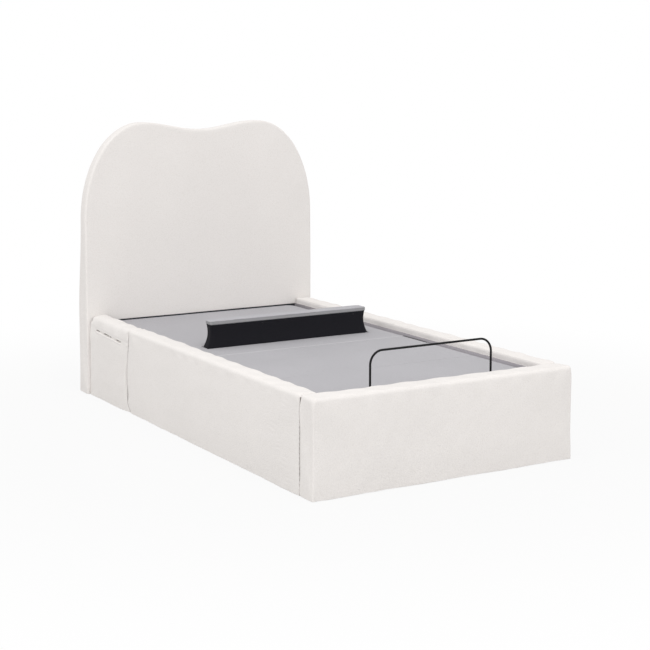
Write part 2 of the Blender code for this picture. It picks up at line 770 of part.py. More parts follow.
def make_foot_arms(owner):
    """A torsion tube with two lift arms and the foot actuator's lever, all welded."""
    reach = tube_inner - TORSION_END_GAP
    torsion = cross_bar("foot_lift_arms", torsion_axis, reach, TORSION_TUBE_RADIUS, 24)
    root_radius = TORSION_TUBE_RADIUS - JOIN
    outline = round_hull((torsion_axis, root_radius), (arm_end, ARM_END_RADIUS))
    half = LEVER_THICKNESS / 2
    for sign in (-1, 1):
        x = sign * arm_offset
        unite(torsion, side_plate("lift_arm", outline, x - half, x + half))
    swing = THIGH_TRAVEL / 2
    down = Vector((0, sin(swing), -cos(swing)))
    slot_top = torsion_axis + down * FOOT_LEVER_DROP
    slot_end = torsion_axis + down * (FOOT_LEVER_DROP / cos(swing))
    slot_radius = PIN_RADIUS + FOOT_SLOT_PLAY
    x = -ACTUATOR_OFFSET
    unite(torsion, lever_plate("foot_lever", x, torsion_axis, root_radius, slot_top, slot_end, slot_radius))
    subtract(torsion, lever_slot("foot_lever", x, slot_top, slot_end, slot_radius))
    for sign in (-1, 1):
        hole = (sign * arm_offset, arm_end.y, arm_end.z)
        subtract(torsion, cross_bar("arm_hole", hole, half + OVERRUN, PIN_RADIUS + ARM_PIN_PLAY))
    finish(torsion, "black_steel", owner)

    block_radius = TORSION_TUBE_RADIUS + BEARING_EDGE
    for side, sign in (("left", -1), ("right", 1)):
        near, far = sorted((sign * (tube_inner - FIT), sign * (tube_inner - FIT - BEARING_LENGTH)))
        y, z = torsion_axis.y, torsion_axis.z
        housing = block(
            "arm_bearing_" + side,
            (near, y - block_radius, z - block_radius),
            (far, y + block_radius, min(z + block_radius, base_top)),
        )
        middle = ((near + far) / 2, y, z)
        bore = cross_bar("arm_bearing_bore", middle, BEARING_LENGTH, TORSION_TUBE_RADIUS + 2 * ROD_PLAY, 24)
        finish(subtract(housing, bore), "black_plastic")


def make_actuator(name, x, tail, pin_y, facing, owner):
    """A housing that hangs level from a clevis at its tail, and a rod whose fork carries the lever's pin.

    facing is 1 where the rod points along +Y, and -1 where it points the other way.
    """
    z = tail.z

    def at(y, dx=0.0, dz=0.0):
        return (x + dx, y, z + dz)

    throat = pin_y - facing * FORK_REACH
    mouth = throat - facing * (FORK_WEB + FORK_TO_TUBE_GAP)
    gearbox_near = tail.y + facing * TONGUE_LENGTH
    gearbox_far = gearbox_near + facing * GEARBOX_LENGTH
    low, high = sorted((gearbox_near, gearbox_far))
    housing = soften(
        block(
            name + "_housing",
            (x - GEARBOX_RADIUS, low, z - GEARBOX_RADIUS),
            (x + GEARBOX_RADIUS, high, z + GEARBOX_RADIUS),
        ),
        GEARBOX_RADIUS / 4,
        2,
    )
    outer = bar(name + "_outer", at(gearbox_far - facing * JOIN * 4), at(mouth), OUTER_TUBE_RADIUS, 20)
    half = TONGUE_THICKNESS / 2
    tongue_end = (0, gearbox_near + facing * JOIN, z)
    outline = round_hull(((0, tail.y, z), CHEEK_RADIUS), (tongue_end, CHEEK_RADIUS))
    tongue = side_plate(name + "_tongue", outline, x - half, x + half)
    motor_y = (gearbox_near + gearbox_far) / 2
    side = 1 if x > 0 else -1
    motor_end = at(motor_y, side * (GEARBOX_RADIUS + MOTOR_LENGTH))
    motor = bar(name + "_motor", at(motor_y), motor_end, MOTOR_RADIUS, 20)
    unite(housing, outer, tongue, motor)
    bore_start = gearbox_far + facing * FIT
    rod_start = bore_start + facing * ROD_INSIDE_TUBE
    bore_end = at(mouth + facing * OVERRUN)
    bore = bar(name + "_bore", at(bore_start), bore_end, ROD_RADIUS + 2 * ROD_PLAY, 20)
    eye = cross_bar(name + "_eye", (x, tail.y, z), half + OVERRUN, PIN_RADIUS + 2 * ROD_PLAY)
    finish(subtract(housing, bore, eye), "black_plastic")

    rod = bar(name + "_rod", at(rod_start), at(throat - facing * FORK_WEB / 2), ROD_RADIUS, 20)
    near = LEVER_THICKNESS / 2 + SIDE_PLAY
    far = near + CHEEK_THICKNESS
    low, high = sorted((throat, throat - facing * FORK_WEB))
    web = block(name + "_web", (x - far, low, z - CHEEK_RADIUS), (x + far, high, z + CHEEK_RADIUS))
    behind = throat - facing * FORK_WEB / 2
    outline = round_hull(((0, pin_y, z), CHEEK_RADIUS), ((0, behind, z), FORK_WEB / 2))
    cheeks = []
    for sign in (-1, 1):
        cheeks.append(side_plate(name + "_cheek", outline, x + sign * near, x + sign * far))
    pin = cross_bar(name + "_pin", (x, pin_y, z), far - JOIN, PIN_RADIUS)
    unite(rod, web, *cheeks, pin)
    finish(rod, "zinc_steel", owner)


def make_actuators(head_rod, foot_rod):
    """Both actuators lie level between the cross tubes, side by side."""
    back_half = BACK_TRAVEL / 2
    head_z = back_axis.z - BACK_LEVER_DROP
    head_tail = Vector((ACTUATOR_OFFSET, centre_cross, head_z))
    head_pin = back_axis.y - BACK_LEVER_DROP * tan(back_half)
    foot_half = THIGH_TRAVEL / 2
    foot_z = torsion_axis.z - FOOT_LEVER_DROP
    foot_tail = Vector((-ACTUATOR_OFFSET, seat_cross, foot_z))
    foot_pin = torsion_axis.y + FOOT_LEVER_DROP * tan(foot_half)
    seat_tube = cross_tube("seat_cross_tube", seat_cross)
    unite(seat_tube, *clevis("foot_actuator", foot_tail, TONGUE_THICKNESS, base_bottom + CHEEK_RADIUS))
    finish(seat_tube, "black_steel")
    centre_tube = cross_tube("centre_cross_tube", centre_cross)
    unite(centre_tube, *clevis("head_actuator", head_tail, TONGUE_THICKNESS, base_bottom + CHEEK_RADIUS))
    finish(centre_tube, "black_steel")
    make_actuator("head_actuator", ACTUATOR_OFFSET, head_tail, head_pin, 1, head_rod)
    make_actuator("foot_actuator", -ACTUATOR_OFFSET, foot_tail, foot_pin, -1, foot_rod)


def skirt_rings():
    """Half sizes of the skirt in X and Y up its height: flared at the deck, drawn in at the waist."""
    bottom = deck_bottom + SKIRT_HEM
    base = (lumbar_half + SKIRT_BASE_FLARE, LUMBAR_CUSHION_DEPTH / 2 + SKIRT_BASE_DEPTH_FLARE)
    top = (lumbar_half - SKIRT_HEM / 2, LUMBAR_CUSHION_DEPTH / 2 - SKIRT_HEM / 2)
    rings = [(base, bottom)]
    steps = 8
    for step in range(steps + 1):
        share = step / steps
        pull = SKIRT_WAIST * sin(pi * share)
        ease = (1 - share) ** 2
        size = [t + (b - t) * ease - pull for b, t in zip(base, top)]
        rings.append((size, deck_top + (skirt_top - SKIRT_HEM - deck_top) * share))
    rings.append((top, skirt_top))
    return rings


def make_lumbar(back, strip):
    """The strip stands on a lift frame, whose posts and screw run in a cradle under the back deck."""
    y = lumbar_y
    half_y = LUMBAR_CUSHION_DEPTH / 2

    cushion_low = skirt_top + FIT
    shape = bmesh.new()
    bmesh.ops.create_cube(shape, size=1)
    lengthwise = [e for e in shape.edges if abs(e.verts[0].co.x - e.verts[1].co.x) > 0.5]
    bmesh.ops.subdivide_edges(shape, edges=lengthwise, cuts=11, use_grid_fill=True)
    across = [e for e in shape.edges if abs(e.verts[0].co.y - e.verts[1].co.y) > 0.5]
    bmesh.ops.subdivide_edges(shape, edges=across, cuts=3, use_grid_fill=True)
    for v in shape.verts:
        along = 2 * v.co.x
        side = 2 * v.co.y
        middle = (1 - along**4) * (1 - side**2)
        draw = 1 - SKIRT_HEM / LUMBAR_CUSHION_DEPTH * (1 - along**2)
        v.co.x *= 2 * lumbar_half
        v.co.y *= LUMBAR_CUSHION_DEPTH * draw
        lift = LUMBAR_CUSHION_CROWN * middle if v.co.z > 0 else 0
        v.co.z = v.co.z * LUMBAR_CUSHION_THICKNESS + lift
    place = (0, y, cushion_low + LUMBAR_CUSHION_THICKNESS / 2)
    cushion = mesh_object("lumbar_cushion", shape, place)
    soften(cushion, LUMBAR_CUSHION_THICKNESS / 4, 2)
    finish(cushion, "deck_fabric", strip)

    board_x = lumbar_half - LUMBAR_BOARD_INSET - SKIRT_WAIST
    board_y = half_y - LUMBAR_BOARD_INSET
    board_low = skirt_top - LUMBAR_BOARD_THICKNESS
    frame = block("lumbar_lift_frame", (-board_x, y - board_y, board_low), (board_x, y + board_y, skirt_top))
    floor_top = cradle_bottom + CRADLE_WALL
    guide_bottom = floor_top - GUIDE_LENGTH
    for sign in (-1, 1):
        x = sign * post_offset
        post = bar("lumbar_post", (x, y, guide_bottom), (x, y, board_low + JOIN), POST_RADIUS)
        unite(frame, post)
    unite(frame, bar("lumbar_screw", (0, y, guide_bottom), (0, y, board_low + JOIN), SCREW_RADIUS))
    finish(frame, "zinc_steel", strip)

    wall_y = half_y + SKIRT_BASE_DEPTH_FLARE + SLOT_PLAY + CRADLE_SIDE
    top = deck_bottom - FIT
    half = cradle_half
    cradle = block("lumbar_cradle", (-half, y - wall_y, cradle_bottom), (half, y + wall_y, top))
    for sign in (-1, 1):
        x = sign * post_offset
        radius = POST_RADIUS + GUIDE_WALL
        unite(cradle, bar("lumbar_guide", (x, y, guide_bottom), (x, y, cradle_bottom + JOIN), radius))
    inside = wall_y - CRADLE_WALL
    low = (-half - OVERRUN, y - inside, floor_top)
    trough = block("lumbar_trough", low, (half + OVERRUN, y + inside, top + OVERRUN))
    subtract(cradle, trough)
    for x, radius in ((-post_offset, POST_RADIUS), (0, SCREW_RADIUS), (post_offset, POST_RADIUS)):
        bore = bar(
            "lumbar_bore", (x, y, guide_bottom - OVERRUN), (x, y, floor_top + OVERRUN), radius + POST_PLAY
        )
        subtract(cradle, bore)
    finish(cradle, "zinc_steel", back)

    tube_top = cradle_bottom - FIT
    tube_bottom = guide_bottom - LUMBAR_TRAVEL - 2 * SCREW_TUBE_FLOOR
    tube = bar("lumbar_actuator", (0, y, tube_bottom), (0, y, tube_top), SCREW_TUBE_RADIUS, 20)
    motor_z = guide_bottom
    motor = bar(
        "lumbar_motor", (0, y, motor_z), (SCREW_TUBE_RADIUS + MOTOR_LENGTH, y, motor_z), MOTOR_RADIUS, 20
    )
    unite(tube, motor)
    bore = bar(
        "lumbar_screw_bore",
        (0, y, tube_bottom + SCREW_TUBE_FLOOR),
        (0, y, tube_top + OVERRUN),
        SCREW_RADIUS + POST_PLAY,
        20,
    )
    finish(subtract(tube, bore), "black_plastic", back)

    skirt_shape = bmesh.new()
    loops = []
    for (rx, ry), z in skirt_rings():
        corner = ry / 2
        ring = []
        for cx, cy, start in ((1, 1, 0), (-1, 1, pi / 2), (-1, -1, pi), (1, -1, 3 * pi / 2)):
            for step in range(4):
                a = start + pi / 2 * step / 3
                ring.append((cx * (rx - corner) + corner * cos(a), cy * (ry - corner) + corner * sin(a), z))
        loops.append([skirt_shape.verts.new(p) for p in ring])
    for lower, upper in zip(loops, loops[1:]):
        for k in range(len(lower)):
            n = (k + 1) % len(lower)
            skirt_shape.faces.new((lower[k], lower[n], upper[n], upper[k]))
    skirt = mesh_object("lumbar_skirt", skirt_shape, (0, y, 0))
    wall = skirt.modifiers.new("wall", "SOLIDIFY")
    wall.thickness = SKIRT_WALL
    wall.offset = -1
    finish(skirt, "black_stretch", back)


def make_control_box():
    """A box on the left side tube, with three lead sockets in its inner face."""
    near = -tube_inner + FIT
    far = near + CONTROL_BOX_WIDTH
    y = (seat_cross + centre_cross) / 2
    z = (base_bottom + base_top) / 2
    half_y = CONTROL_BOX_LENGTH / 2
    half_z = CONTROL_BOX_HEIGHT / 2
    box = block("control_box", (near, y - half_y, z - half_z), (far, y + half_y, z + half_z))
    soften(box, FLANGE_THICKNESS / 2, 2)
    for step in (-1, 0, 1):
        middle = y + step * SOCKET_SPACING
        low = (far - SOCKET_DEPTH, middle - SOCKET_WIDTH / 2, z - SOCKET_HEIGHT / 2)
        high = (far + OVERRUN, middle + SOCKET_WIDTH / 2, z + SOCKET_HEIGHT / 2)
        subtract(box, block("control_socket", low, high))
    finish(box, "black_plastic")


def make_retainer(leg, lift):
    """A bent wire that keeps the mattress on. Its ends stand in two sockets on the leg deck's end."""
    half = RETAINER_WIDTH / 2
    top = RAIL_HEIGHT + RETAINER_TOP_ABOVE_RAIL - RETAINER_WIRE_RADIUS
    socket_top = deck_top - RETAINER_SOCKET_DROP
    socket_low = socket_top - RETAINER_SOCKET_HEIGHT
    wire_low = socket_low + RETAINER_SOCKET_WALL + FIT
    route = [(-half, wire_low)]
    steps = 8
    bend = RETAINER_BEND_RADIUS
    for centre, start in ((-half + bend, pi), (half - bend, pi / 2)):
        for step in range(steps + 1):
            a = start - pi / 2 * step / steps
            route.append((centre + bend * cos(a), top - bend + bend * sin(a)))
    route.append((half, wire_low))
    curve = bpy.data.curves.new("retainer_bar", "CURVE")
    curve.dimensions = "3D"
    curve.bevel_depth = RETAINER_WIRE_RADIUS
    curve.bevel_resolution = 2
    curve.use_fill_caps = True
    line = curve.splines.new("POLY")
    line.points.add(len(route) - 1)
    for point, (x, z) in zip(line.points, route):
        point.co = (x, 0, z, 1)
    wire = bpy.data.objects.new("retainer_bar", curve)
    wire.location = (0, retainer_y, 0)
    finish(wire, "black_steel", lift)

    reach = RETAINER_WIRE_RADIUS + RETAINER_PLAY
    for side, sign in (("left", -1), ("right", 1)):
        x = sign * half
        outer = reach + RETAINER_SOCKET_WALL
        socket = block(
            "retainer_socket_" + side,
            (x - outer, retainer_y - outer, socket_low),
            (x + outer, leg_end - FIT, socket_top),
        )
        hole = bar(
            "retainer_hole", (x, retainer_y, wire_low - FIT), (x, retainer_y, socket_top + OVERRUN), reach
        )
        finish(subtract(socket, hole), "black_plastic", leg)


def make_bed():
    back = pivot("back_hinge", back_axis)
    strip = pivot("lumbar_lift", (0, lumbar_y, deck_top))
    thigh = pivot("thigh_hinge", thigh_axis)
    leg = pivot("knee_hinge", knee_axis)
    arms = pivot("foot_arm_hinge", torsion_axis)
    head_rod = pivot("head_rod_slide", (ACTUATOR_OFFSET, back_axis.y, back_axis.z - BACK_LEVER_DROP))
    foot_rod = pivot("foot_rod_slide", (-ACTUATOR_OFFSET, torsion_axis.y, torsion_axis.z - FOOT_LEVER_DROP))
    lift = pivot("retainer_lift", (0, retainer_y, deck_top))
    make_surround()
    for side, x_sign in (("left", -1), ("right", 1)):
        make_corner_bracket("corner_bracket_foot_" + side, x_sign, -1)
        make_corner_bracket("corner_bracket_head_" + side, x_sign, 1)
    make_joint_plate()
    make_base()
    make_seat()
    make_back(back)
    make_lumbar(back, strip)
    make_thigh(thigh)
    make_leg(leg)
    make_foot_arms(arms)
    make_actuators(head_rod, foot_rod)
    make_control_box()
    make_retainer(leg, lift)


make_bed()
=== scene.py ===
from math import pi, radians

import bpy
import numpy as np
from mathutils import Matrix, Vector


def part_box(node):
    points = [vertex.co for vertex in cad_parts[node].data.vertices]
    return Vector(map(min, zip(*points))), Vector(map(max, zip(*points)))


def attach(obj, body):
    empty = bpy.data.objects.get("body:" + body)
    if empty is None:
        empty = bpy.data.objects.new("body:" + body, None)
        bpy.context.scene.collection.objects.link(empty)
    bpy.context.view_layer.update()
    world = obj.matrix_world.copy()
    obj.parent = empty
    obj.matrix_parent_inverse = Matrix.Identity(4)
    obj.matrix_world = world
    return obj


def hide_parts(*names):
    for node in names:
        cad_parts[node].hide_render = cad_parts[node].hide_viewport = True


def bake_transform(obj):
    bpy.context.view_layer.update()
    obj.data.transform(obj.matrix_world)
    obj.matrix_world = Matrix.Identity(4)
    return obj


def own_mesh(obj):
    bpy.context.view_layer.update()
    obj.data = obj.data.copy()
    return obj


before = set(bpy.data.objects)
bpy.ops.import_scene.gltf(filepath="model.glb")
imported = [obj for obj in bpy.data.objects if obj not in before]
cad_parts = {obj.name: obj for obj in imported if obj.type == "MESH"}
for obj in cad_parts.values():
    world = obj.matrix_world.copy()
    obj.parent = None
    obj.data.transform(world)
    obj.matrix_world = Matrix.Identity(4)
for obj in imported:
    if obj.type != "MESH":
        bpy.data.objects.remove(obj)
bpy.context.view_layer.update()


# The studio: a plain pale floor that fades to white, broad soft lamps above and a little to the left,
# and the camera off the foot end on the bed's left, a little above the headboard.
scene = bpy.context.scene
scene.view_settings.view_transform = "Standard"


def add_node(tree, kind, sockets=None, **settings):
    """One shader node. Each entry of sockets gives an input its value, or joins it to a node's output."""
    made = tree.nodes.new("ShaderNode" + kind)
    for key, value in settings.items():
        setattr(made, key, value)
    for key, value in (sockets or {}).items():
        if isinstance(value, bpy.types.NodeSocket):
            tree.links.new(value, made.inputs[key])
        else:
            made.inputs[key].default_value = value
    return made


def add_sum(tree, operation, a, b):
    """The result of one Math node on two values or outputs."""
    return add_node(tree, "Math", {0: a, 1: b}, operation=operation).outputs[0]


def seen_directly(tree):
    """1 where a camera, glossy or transmission ray looks at the surface, and 0 for the light that falls on it."""
    rays = add_node(tree, "LightPath").outputs
    mirror = add_sum(tree, "MAXIMUM", rays["Is Glossy Ray"], rays["Is Transmission Ray"])
    return add_sum(tree, "MAXIMUM", rays["Is Camera Ray"], mirror)


def place_object(name, data):
    """A new object of the scene that shows the data."""
    made = bpy.data.objects.new(name, data)
    scene.collection.objects.link(made)
    return made


world = bpy.data.worlds.new("studio")
world.use_nodes = True
room = world.node_tree
room.nodes.clear()
walls = add_node(room, "Background", {"Color": (1, 0.99, 0.985, 1), "Strength": 0.88})
white = add_node(room, "Background", {"Color": (1, 1, 1, 1), "Strength": 1})
both = add_node(room, "MixShader", {0: seen_directly(room), 1: walls.outputs[0], 2: white.outputs[0]})
add_node(room, "OutputWorld", {"Surface": both.outputs[0]})
scene.world = world

floor_skin = bpy.data.materials.new("floor_paper")
floor_skin.use_nodes = True
paper = floor_skin.node_tree
paper.nodes.clear()
across = add_node(paper, "TexCoord").outputs["Object"]
far = add_node(paper, "VectorMath", {0: across}, operation="LENGTH").outputs["Value"]
fade = add_node(paper, "MapRange", {"Value": far, 1: 1.3, 2: 3.2, 3: 0.9, 4: 1.0}, interpolation_type="SMOOTHSTEP")
share = add_sum(paper, "MULTIPLY", fade.outputs[0], seen_directly(paper))
matt = add_node(paper, "BsdfDiffuse", {"Color": (0.58, 0.58, 0.58, 1)})
glow = add_node(paper, "Emission", {"Color": (1, 1, 1, 1), "Strength": 1})
mixed = add_node(paper, "MixShader", {0: share, 1: matt.outputs[0], 2: glow.outputs[0]})
add_node(paper, "OutputMaterial", {"Surface": mixed.outputs[0]})
floor_mesh = bpy.data.meshes.new("floor")
floor_mesh.from_pydata([(-20, -20, 0), (20, -20, 0), (20, 20, 0), (-20, 20, 0)], [], [(0, 1, 2, 3)])
floor_mesh.materials.append(floor_skin)
floor = place_object("floor", floor_mesh)

for lamp_name, place, size, power in (
    ("lamp_above", (-1.2, -3.6, 9.0), 7.0, 202),
    ("lamp_left", (-8.0, -1.0, 2.7), 5.0, 116),
    ("lamp_foot", (-0.6, -12.0, 4.2), 5.0, 232),
):
    glare = bpy.data.lights.new(lamp_name, "AREA")
    glare.size = size
    glare.energy = power
    lamp = place_object(lamp_name, glare)
    facing = -np.array(place) + (0, 0, 0.4)
    turn = Matrix.Rotation(np.arctan2(-facing[0], facing[1]), 4, "Z")
    dip = Matrix.Rotation(pi / 2 - np.arctan2(-facing[2], np.hypot(*facing[:2])), 4, "X")
    lamp.matrix_world = Matrix.Translation(place) @ turn @ dip

lens = bpy.data.cameras.new("view")
lens.sensor_width = 36
lens.lens = 83.5
lens.shift_y = -0.1
lens.clip_end = 80
camera = place_object("camera", lens)
bearing = Matrix.Rotation(radians(-30.8687), 4, "Z")
pitch = Matrix.Rotation(radians(90 - 7.443), 4, "X")
roll = Matrix.Rotation(radians(0.113), 4, "Z")
camera.matrix_world = Matrix.Translation((-3.39437, -5.86669, 1.63349)) @ bearing @ pitch @ roll
scene.camera = camera


# The headboard: a timber board with two low peaks, wrapped in foam and an off-white looped-pile cloth that
# is drawn tight over its rounded edges and stapled behind. The side and top edges are one long strip.
def make_material(name, effect, values, strength, distance, **plain):
    """A material: an effect's colour, roughness and height drive the shader, and plain sets the shader's sockets."""
    skin = bpy.data.materials.new(name)
    skin.use_nodes = True
    tree = skin.node_tree
    shader = tree.nodes["Principled BSDF"]
    surface = add_node(tree, "Group", values, node_tree=effect).outputs
    bump = add_node(tree, "Bump", {"Strength": strength, "Distance": distance, "Height": surface["Height"]})
    tree.links.new(bump.outputs["Normal"], shader.inputs["Normal"])
    tree.links.new(surface["Color"], shader.inputs["Base Color"])
    tree.links.new(surface["Roughness"], shader.inputs["Roughness"])
    for socket, value in plain.items():
        shader.inputs[socket.replace("_", " ").title().replace("Ior", "IOR")].default_value = value
    return skin


def make_effect(name, inputs):
    """A node group that puts out Color, Roughness and Height, with its given inputs and its object coordinates."""
    group = bpy.data.node_groups.new(name, "ShaderNodeTree")
    for title, value in inputs.items():
        kind = "NodeSocketColor" if hasattr(value, "__len__") else "NodeSocketFloat"
        group.interface.new_socket(title, in_out="INPUT", socket_type=kind).default_value = value
    for title, kind in (("Color", "Color"), ("Roughness", "Float"), ("Height", "Float")):
        group.interface.new_socket(title, in_out="OUTPUT", socket_type="NodeSocket" + kind)
    return group, group.nodes.new("NodeGroupInput").outputs, add_node(group, "TexCoord").outputs["Object"]


def put_out(tree, colour, roughness, height):
    """Joins an effect's colour, roughness and height to its outputs."""
    end = tree.nodes.new("NodeGroupOutput").inputs
    for socket, value in (("Color", colour), ("Roughness", roughness), ("Height", height)):
        tree.links.new(value, end[socket])


def mix_colours(tree, share, a, b, blend="MIX"):
    """Two colours mixed by a share, which may each be a value or an output."""
    made = add_node(tree, "Mix", {0: share, 6: a, 7: b}, data_type="RGBA", blend_type=blend)
    return made.outputs[2]


def ramp(tree, value, low, high, start=0.0, end=1.0):
    """A value carried from low..high to start..end, and held level beyond."""
    return add_node(tree, "MapRange", {0: value, 1: low, 2: high, 3: start, 4: end}).outputs[0]


def noise(tree, place, scale, detail, **more):
    """The value of a Noise Texture at a place."""
    return add_node(tree, "TexNoise", {"Vector": place, "Scale": scale, "Detail": detail, **more}).outputs["Fac"]


def clouded(tree, tint, place, scale, detail, darkest):
    """A colour darkened in broad soft clouds, down to its darkest share."""
    cloud = ramp(tree, noise(tree, place, scale, detail), 0.3, 0.7, darkest, 1.0)
    shade = add_node(tree, "CombineColor", {0: cloud, 1: cloud, 2: cloud}).outputs[0]
    return mix_colours(tree, 1.0, tint, shade, "MULTIPLY")


# Looped pile: curls of yarn stand in soft cells of about 4 mm, with finer strands in them and crevices between them
# that are painted dark, as painted shade.
pile, given, place = make_effect(
    "looped_pile",
    {"Pale": (0.8, 0.8, 0.8, 1), "Crevice": (0.6, 0.6, 0.6, 1), "Curl": 250.0},
)
stray = add_node(pile, "TexNoise", {"Vector": place, "Scale": 75.0, "Detail": 2.0}).outputs["Color"]
stray = add_node(pile, "VectorMath", {0: stray, 1: (0.5, 0.5, 0.5)}, operation="SUBTRACT").outputs[0]
stray = add_node(pile, "VectorMath", {0: stray, "Scale": 0.014}, operation="SCALE").outputs[0]
bent = add_node(pile, "VectorMath", {0: place, 1: stray}, operation="ADD").outputs[0]
curl = add_node(pile, "TexVoronoi", {"Vector": bent, "Scale": given["Curl"]}, feature="SMOOTH_F1").outputs["Distance"]
curl = ramp(pile, curl, 0.08, 0.75, 1.0, 0.0)
strand_scale = add_sum(pile, "MULTIPLY", given["Curl"], 2.7)
strand = noise(pile, bent, strand_scale, 3.0)
height = add_sum(pile, "ADD", curl, add_sum(pile, "MULTIPLY", strand, 0.55))
# Painted shade: the colour runs to the crevice tone where the pile is low.
tint = mix_colours(pile, ramp(pile, height, 0.25, 0.95), given["Crevice"], given["Pale"])
put_out(pile, clouded(pile, tint, place, 2.6, 3.0, 0.975), ramp(pile, strand, 0.3, 0.7, 0.88, 1.0), height)

pile_skin = make_material(
    "looped_pile_cloth",
    pile,
    {"Pale": (0.812, 0.785, 0.764, 1), "Crevice": (0.765, 0.736, 0.712, 1)},
    0.34,
    0.0013,
    specular_ior_level=0.2,
    sheen_weight=0.12,
    sheen_roughness=0.6,
)


def grid_quads(index):
    """The quads between neighbouring points of a grid of point numbers."""
    return np.stack((index[:-1, :-1], index[1:, :-1], index[1:, 1:], index[:-1, 1:]), -1)


def box_skin(xs, ys, zs, hole=None):
    """The skin of a box as quads: grid lines along X, Y and Z cross its six faces, and the faces share their edges.

    hole gives the first and last line in X and in Y of a slot through the box, which gets its own four walls.
    """
    lines = [np.asarray(line, float) for line in (xs, ys, zs)]
    counts = [len(line) for line in lines]
    index = np.arange(np.prod(counts)).reshape(counts)
    sheets = []
    for axis, turned in ((0, False), (1, True), (2, False)):
        for end, flip in ((-1, turned), (0, not turned)):
            sheets.append((np.take(index, end, axis), flip, axis == 2))
    if hole:
        (x0, x1), (y0, y1) = hole
        sheets += [
            (index[x0, y0 : y1 + 1], False, False),
            (index[x1, y0 : y1 + 1], True, False),
            (index[x0 : x1 + 1, y0], True, False),
            (index[x0 : x1 + 1, y1], False, False),
        ]
    quads = []
    for sheet, flip, level in sheets:
        quad = grid_quads(sheet)
        keep = np.ones(quad.shape[:2], bool)
        if hole and level:
            keep[x0:x1, y0:y1] = False
        quad = quad[keep]
        quads.append(quad[:, ::-1] if flip else quad)
    used, quads = np.unique(np.concatenate(quads), return_inverse=True)
    points = np.stack(np.meshgrid(*lines, indexing="ij"), -1).reshape(-1, 3)[used]
    return points, quads.reshape(-1, 4)


def grid_line(low, high, step, edge_low=0.0, edge_high=0.0, rows=4):
    """Places from low to high about a step apart, with closer rows over the rounded edge at either end."""
    middle = np.linspace(low + edge_low, high - edge_high, max(2, round((high - low) / step)))
    first = low + edge_low * np.linspace(0, 1, rows, endpoint=False) if edge_low else []
    last = high - edge_high * np.linspace(0, 1, rows, endpoint=False)[::-1] if edge_high else []
    return np.concatenate((first, middle, last))


def round_edges(points, low, high, radii_low, radii_high):
    """Rounds a box's edges: each point stands off the nearest point of a smaller inner box by the edge radii."""
    low, high, below, above = (np.asarray(v, float) for v in (low, high, radii_low, radii_high))
    core = np.clip(points, low + below, high - above)
    away = points - core
    radii = np.where(away < 0, below, above)
    reach = away / radii
    return core + radii * reach / np.linalg.norm(reach, axis=1, keepdims=True)


def add_piece(name, points, faces, skin, body="root"):
    """A smooth mesh piece from points and faces, with its material, on the body that carries it."""
    data = bpy.data.meshes.new(name)
    data.from_pydata(points.tolist(), [], faces.tolist() if isinstance(faces, np.ndarray) else faces)
    data.materials.append(skin)
    data.shade_smooth()
    piece = place_object(name, data)
    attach(piece, body)
    return piece


def unit(values):
    """Values held between 0 and 1."""
    return np.clip(values, 0, 1)


def soft_drift(points, size, depth, seed):
    """How far a padded face strays at each point: six slow waves of random direction and phase, size apart."""
    rng = np.random.default_rng(seed)
    ways = rng.normal(size=(6, 3))
    ways *= 2 * pi / size / np.linalg.norm(ways, axis=1, keepdims=True) * rng.uniform(0.6, 1.3, (6, 1))
    return depth * np.sin(points @ ways.T + rng.uniform(0, 2 * pi, 6)).sum(1) / 6


floor_line = 0.001


def read_places(mesh):
    """The places of a mesh's points, in rows of three."""
    places = np.empty(len(mesh.vertices) * 3, np.float32)
    mesh.vertices.foreach_get("co", places)
    return places.reshape(-1, 3)


def write_places(mesh, places):
    """Puts a mesh's points at new places."""
    mesh.vertices.foreach_set("co", places.ravel())
    mesh.update()


def push_out(piece, distance):
    """Moves each point of a piece along its own normal, but none below the floor."""
    places = read_places(piece.data)
    normals = np.empty(places.size, np.float32)
    piece.data.vertex_normals.foreach_get("vector", normals)
    places += normals.reshape(-1, 3) * distance[:, None]
    places[:, 2] = np.maximum(places[:, 2], floor_line)
    write_places(piece.data, places)


def fill_out(piece, held, cap, pressure=4.0):
    """The foam's push on the cloth: a short cloth simulation. Held points stay, and none moves past its cap."""
    mesh = piece.data
    start = read_places(mesh)
    piece.vertex_groups.new(name="stapled").add(np.flatnonzero(held).tolist(), 1.0, "REPLACE")
    cloth = piece.modifiers.new("cloth", "CLOTH")
    cloth.settings.vertex_group_mass = "stapled"
    cloth.settings.use_pressure = True
    cloth.settings.uniform_pressure_force = pressure
    cloth.settings.effector_weights.gravity = 0
    cloth.settings.quality = 4
    for moment in range(1, 21):
        scene.frame_set(moment)
    move = read_places(piece.evaluated_get(bpy.context.evaluated_depsgraph_get()).data) - start
    length = np.linalg.norm(move, axis=1, keepdims=True)
    move *= np.minimum(1, np.reshape(cap, (-1, 1)) / np.maximum(length, 1e-9))
    piece.modifiers.remove(cloth)
    piece.vertex_groups.clear()
    write_places(mesh, start + move)
    scene.frame_set(1)


def smooth_twice(piece):
    """One level of subdivision, in the viewport and the render alike."""
    step = piece.modifiers.new("smooth", "SUBSURF")
    step.levels = 1
    step.render_levels = 1


headboard_low, headboard_high = (np.array(v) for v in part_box("headboard_cover"))
half_width = headboard_high[0] + 0.003
peak, shoulder, saddle = 0.325, 0.86, 0.040
top_line = headboard_high[2] + 0.005


def shoulder_curve(turn):
    """A quarter of an ellipse from the side edge at the shoulder's height up to the peak."""
    return np.stack((peak + (half_width - peak) * np.cos(turn), shoulder + (top_line - shoulder) * np.sin(turn)), -1)


def by_length(curve, count):
    """Points evenly spaced along a curve that is given by many."""
    run = np.concatenate(([0], np.cumsum(np.linalg.norm(np.diff(curve, axis=0), axis=1))))
    even = np.interp(np.linspace(0, run[-1], count), run, np.arange(len(run)))
    return np.stack([np.interp(even, np.arange(len(run)), c) for c in curve.T], -1)


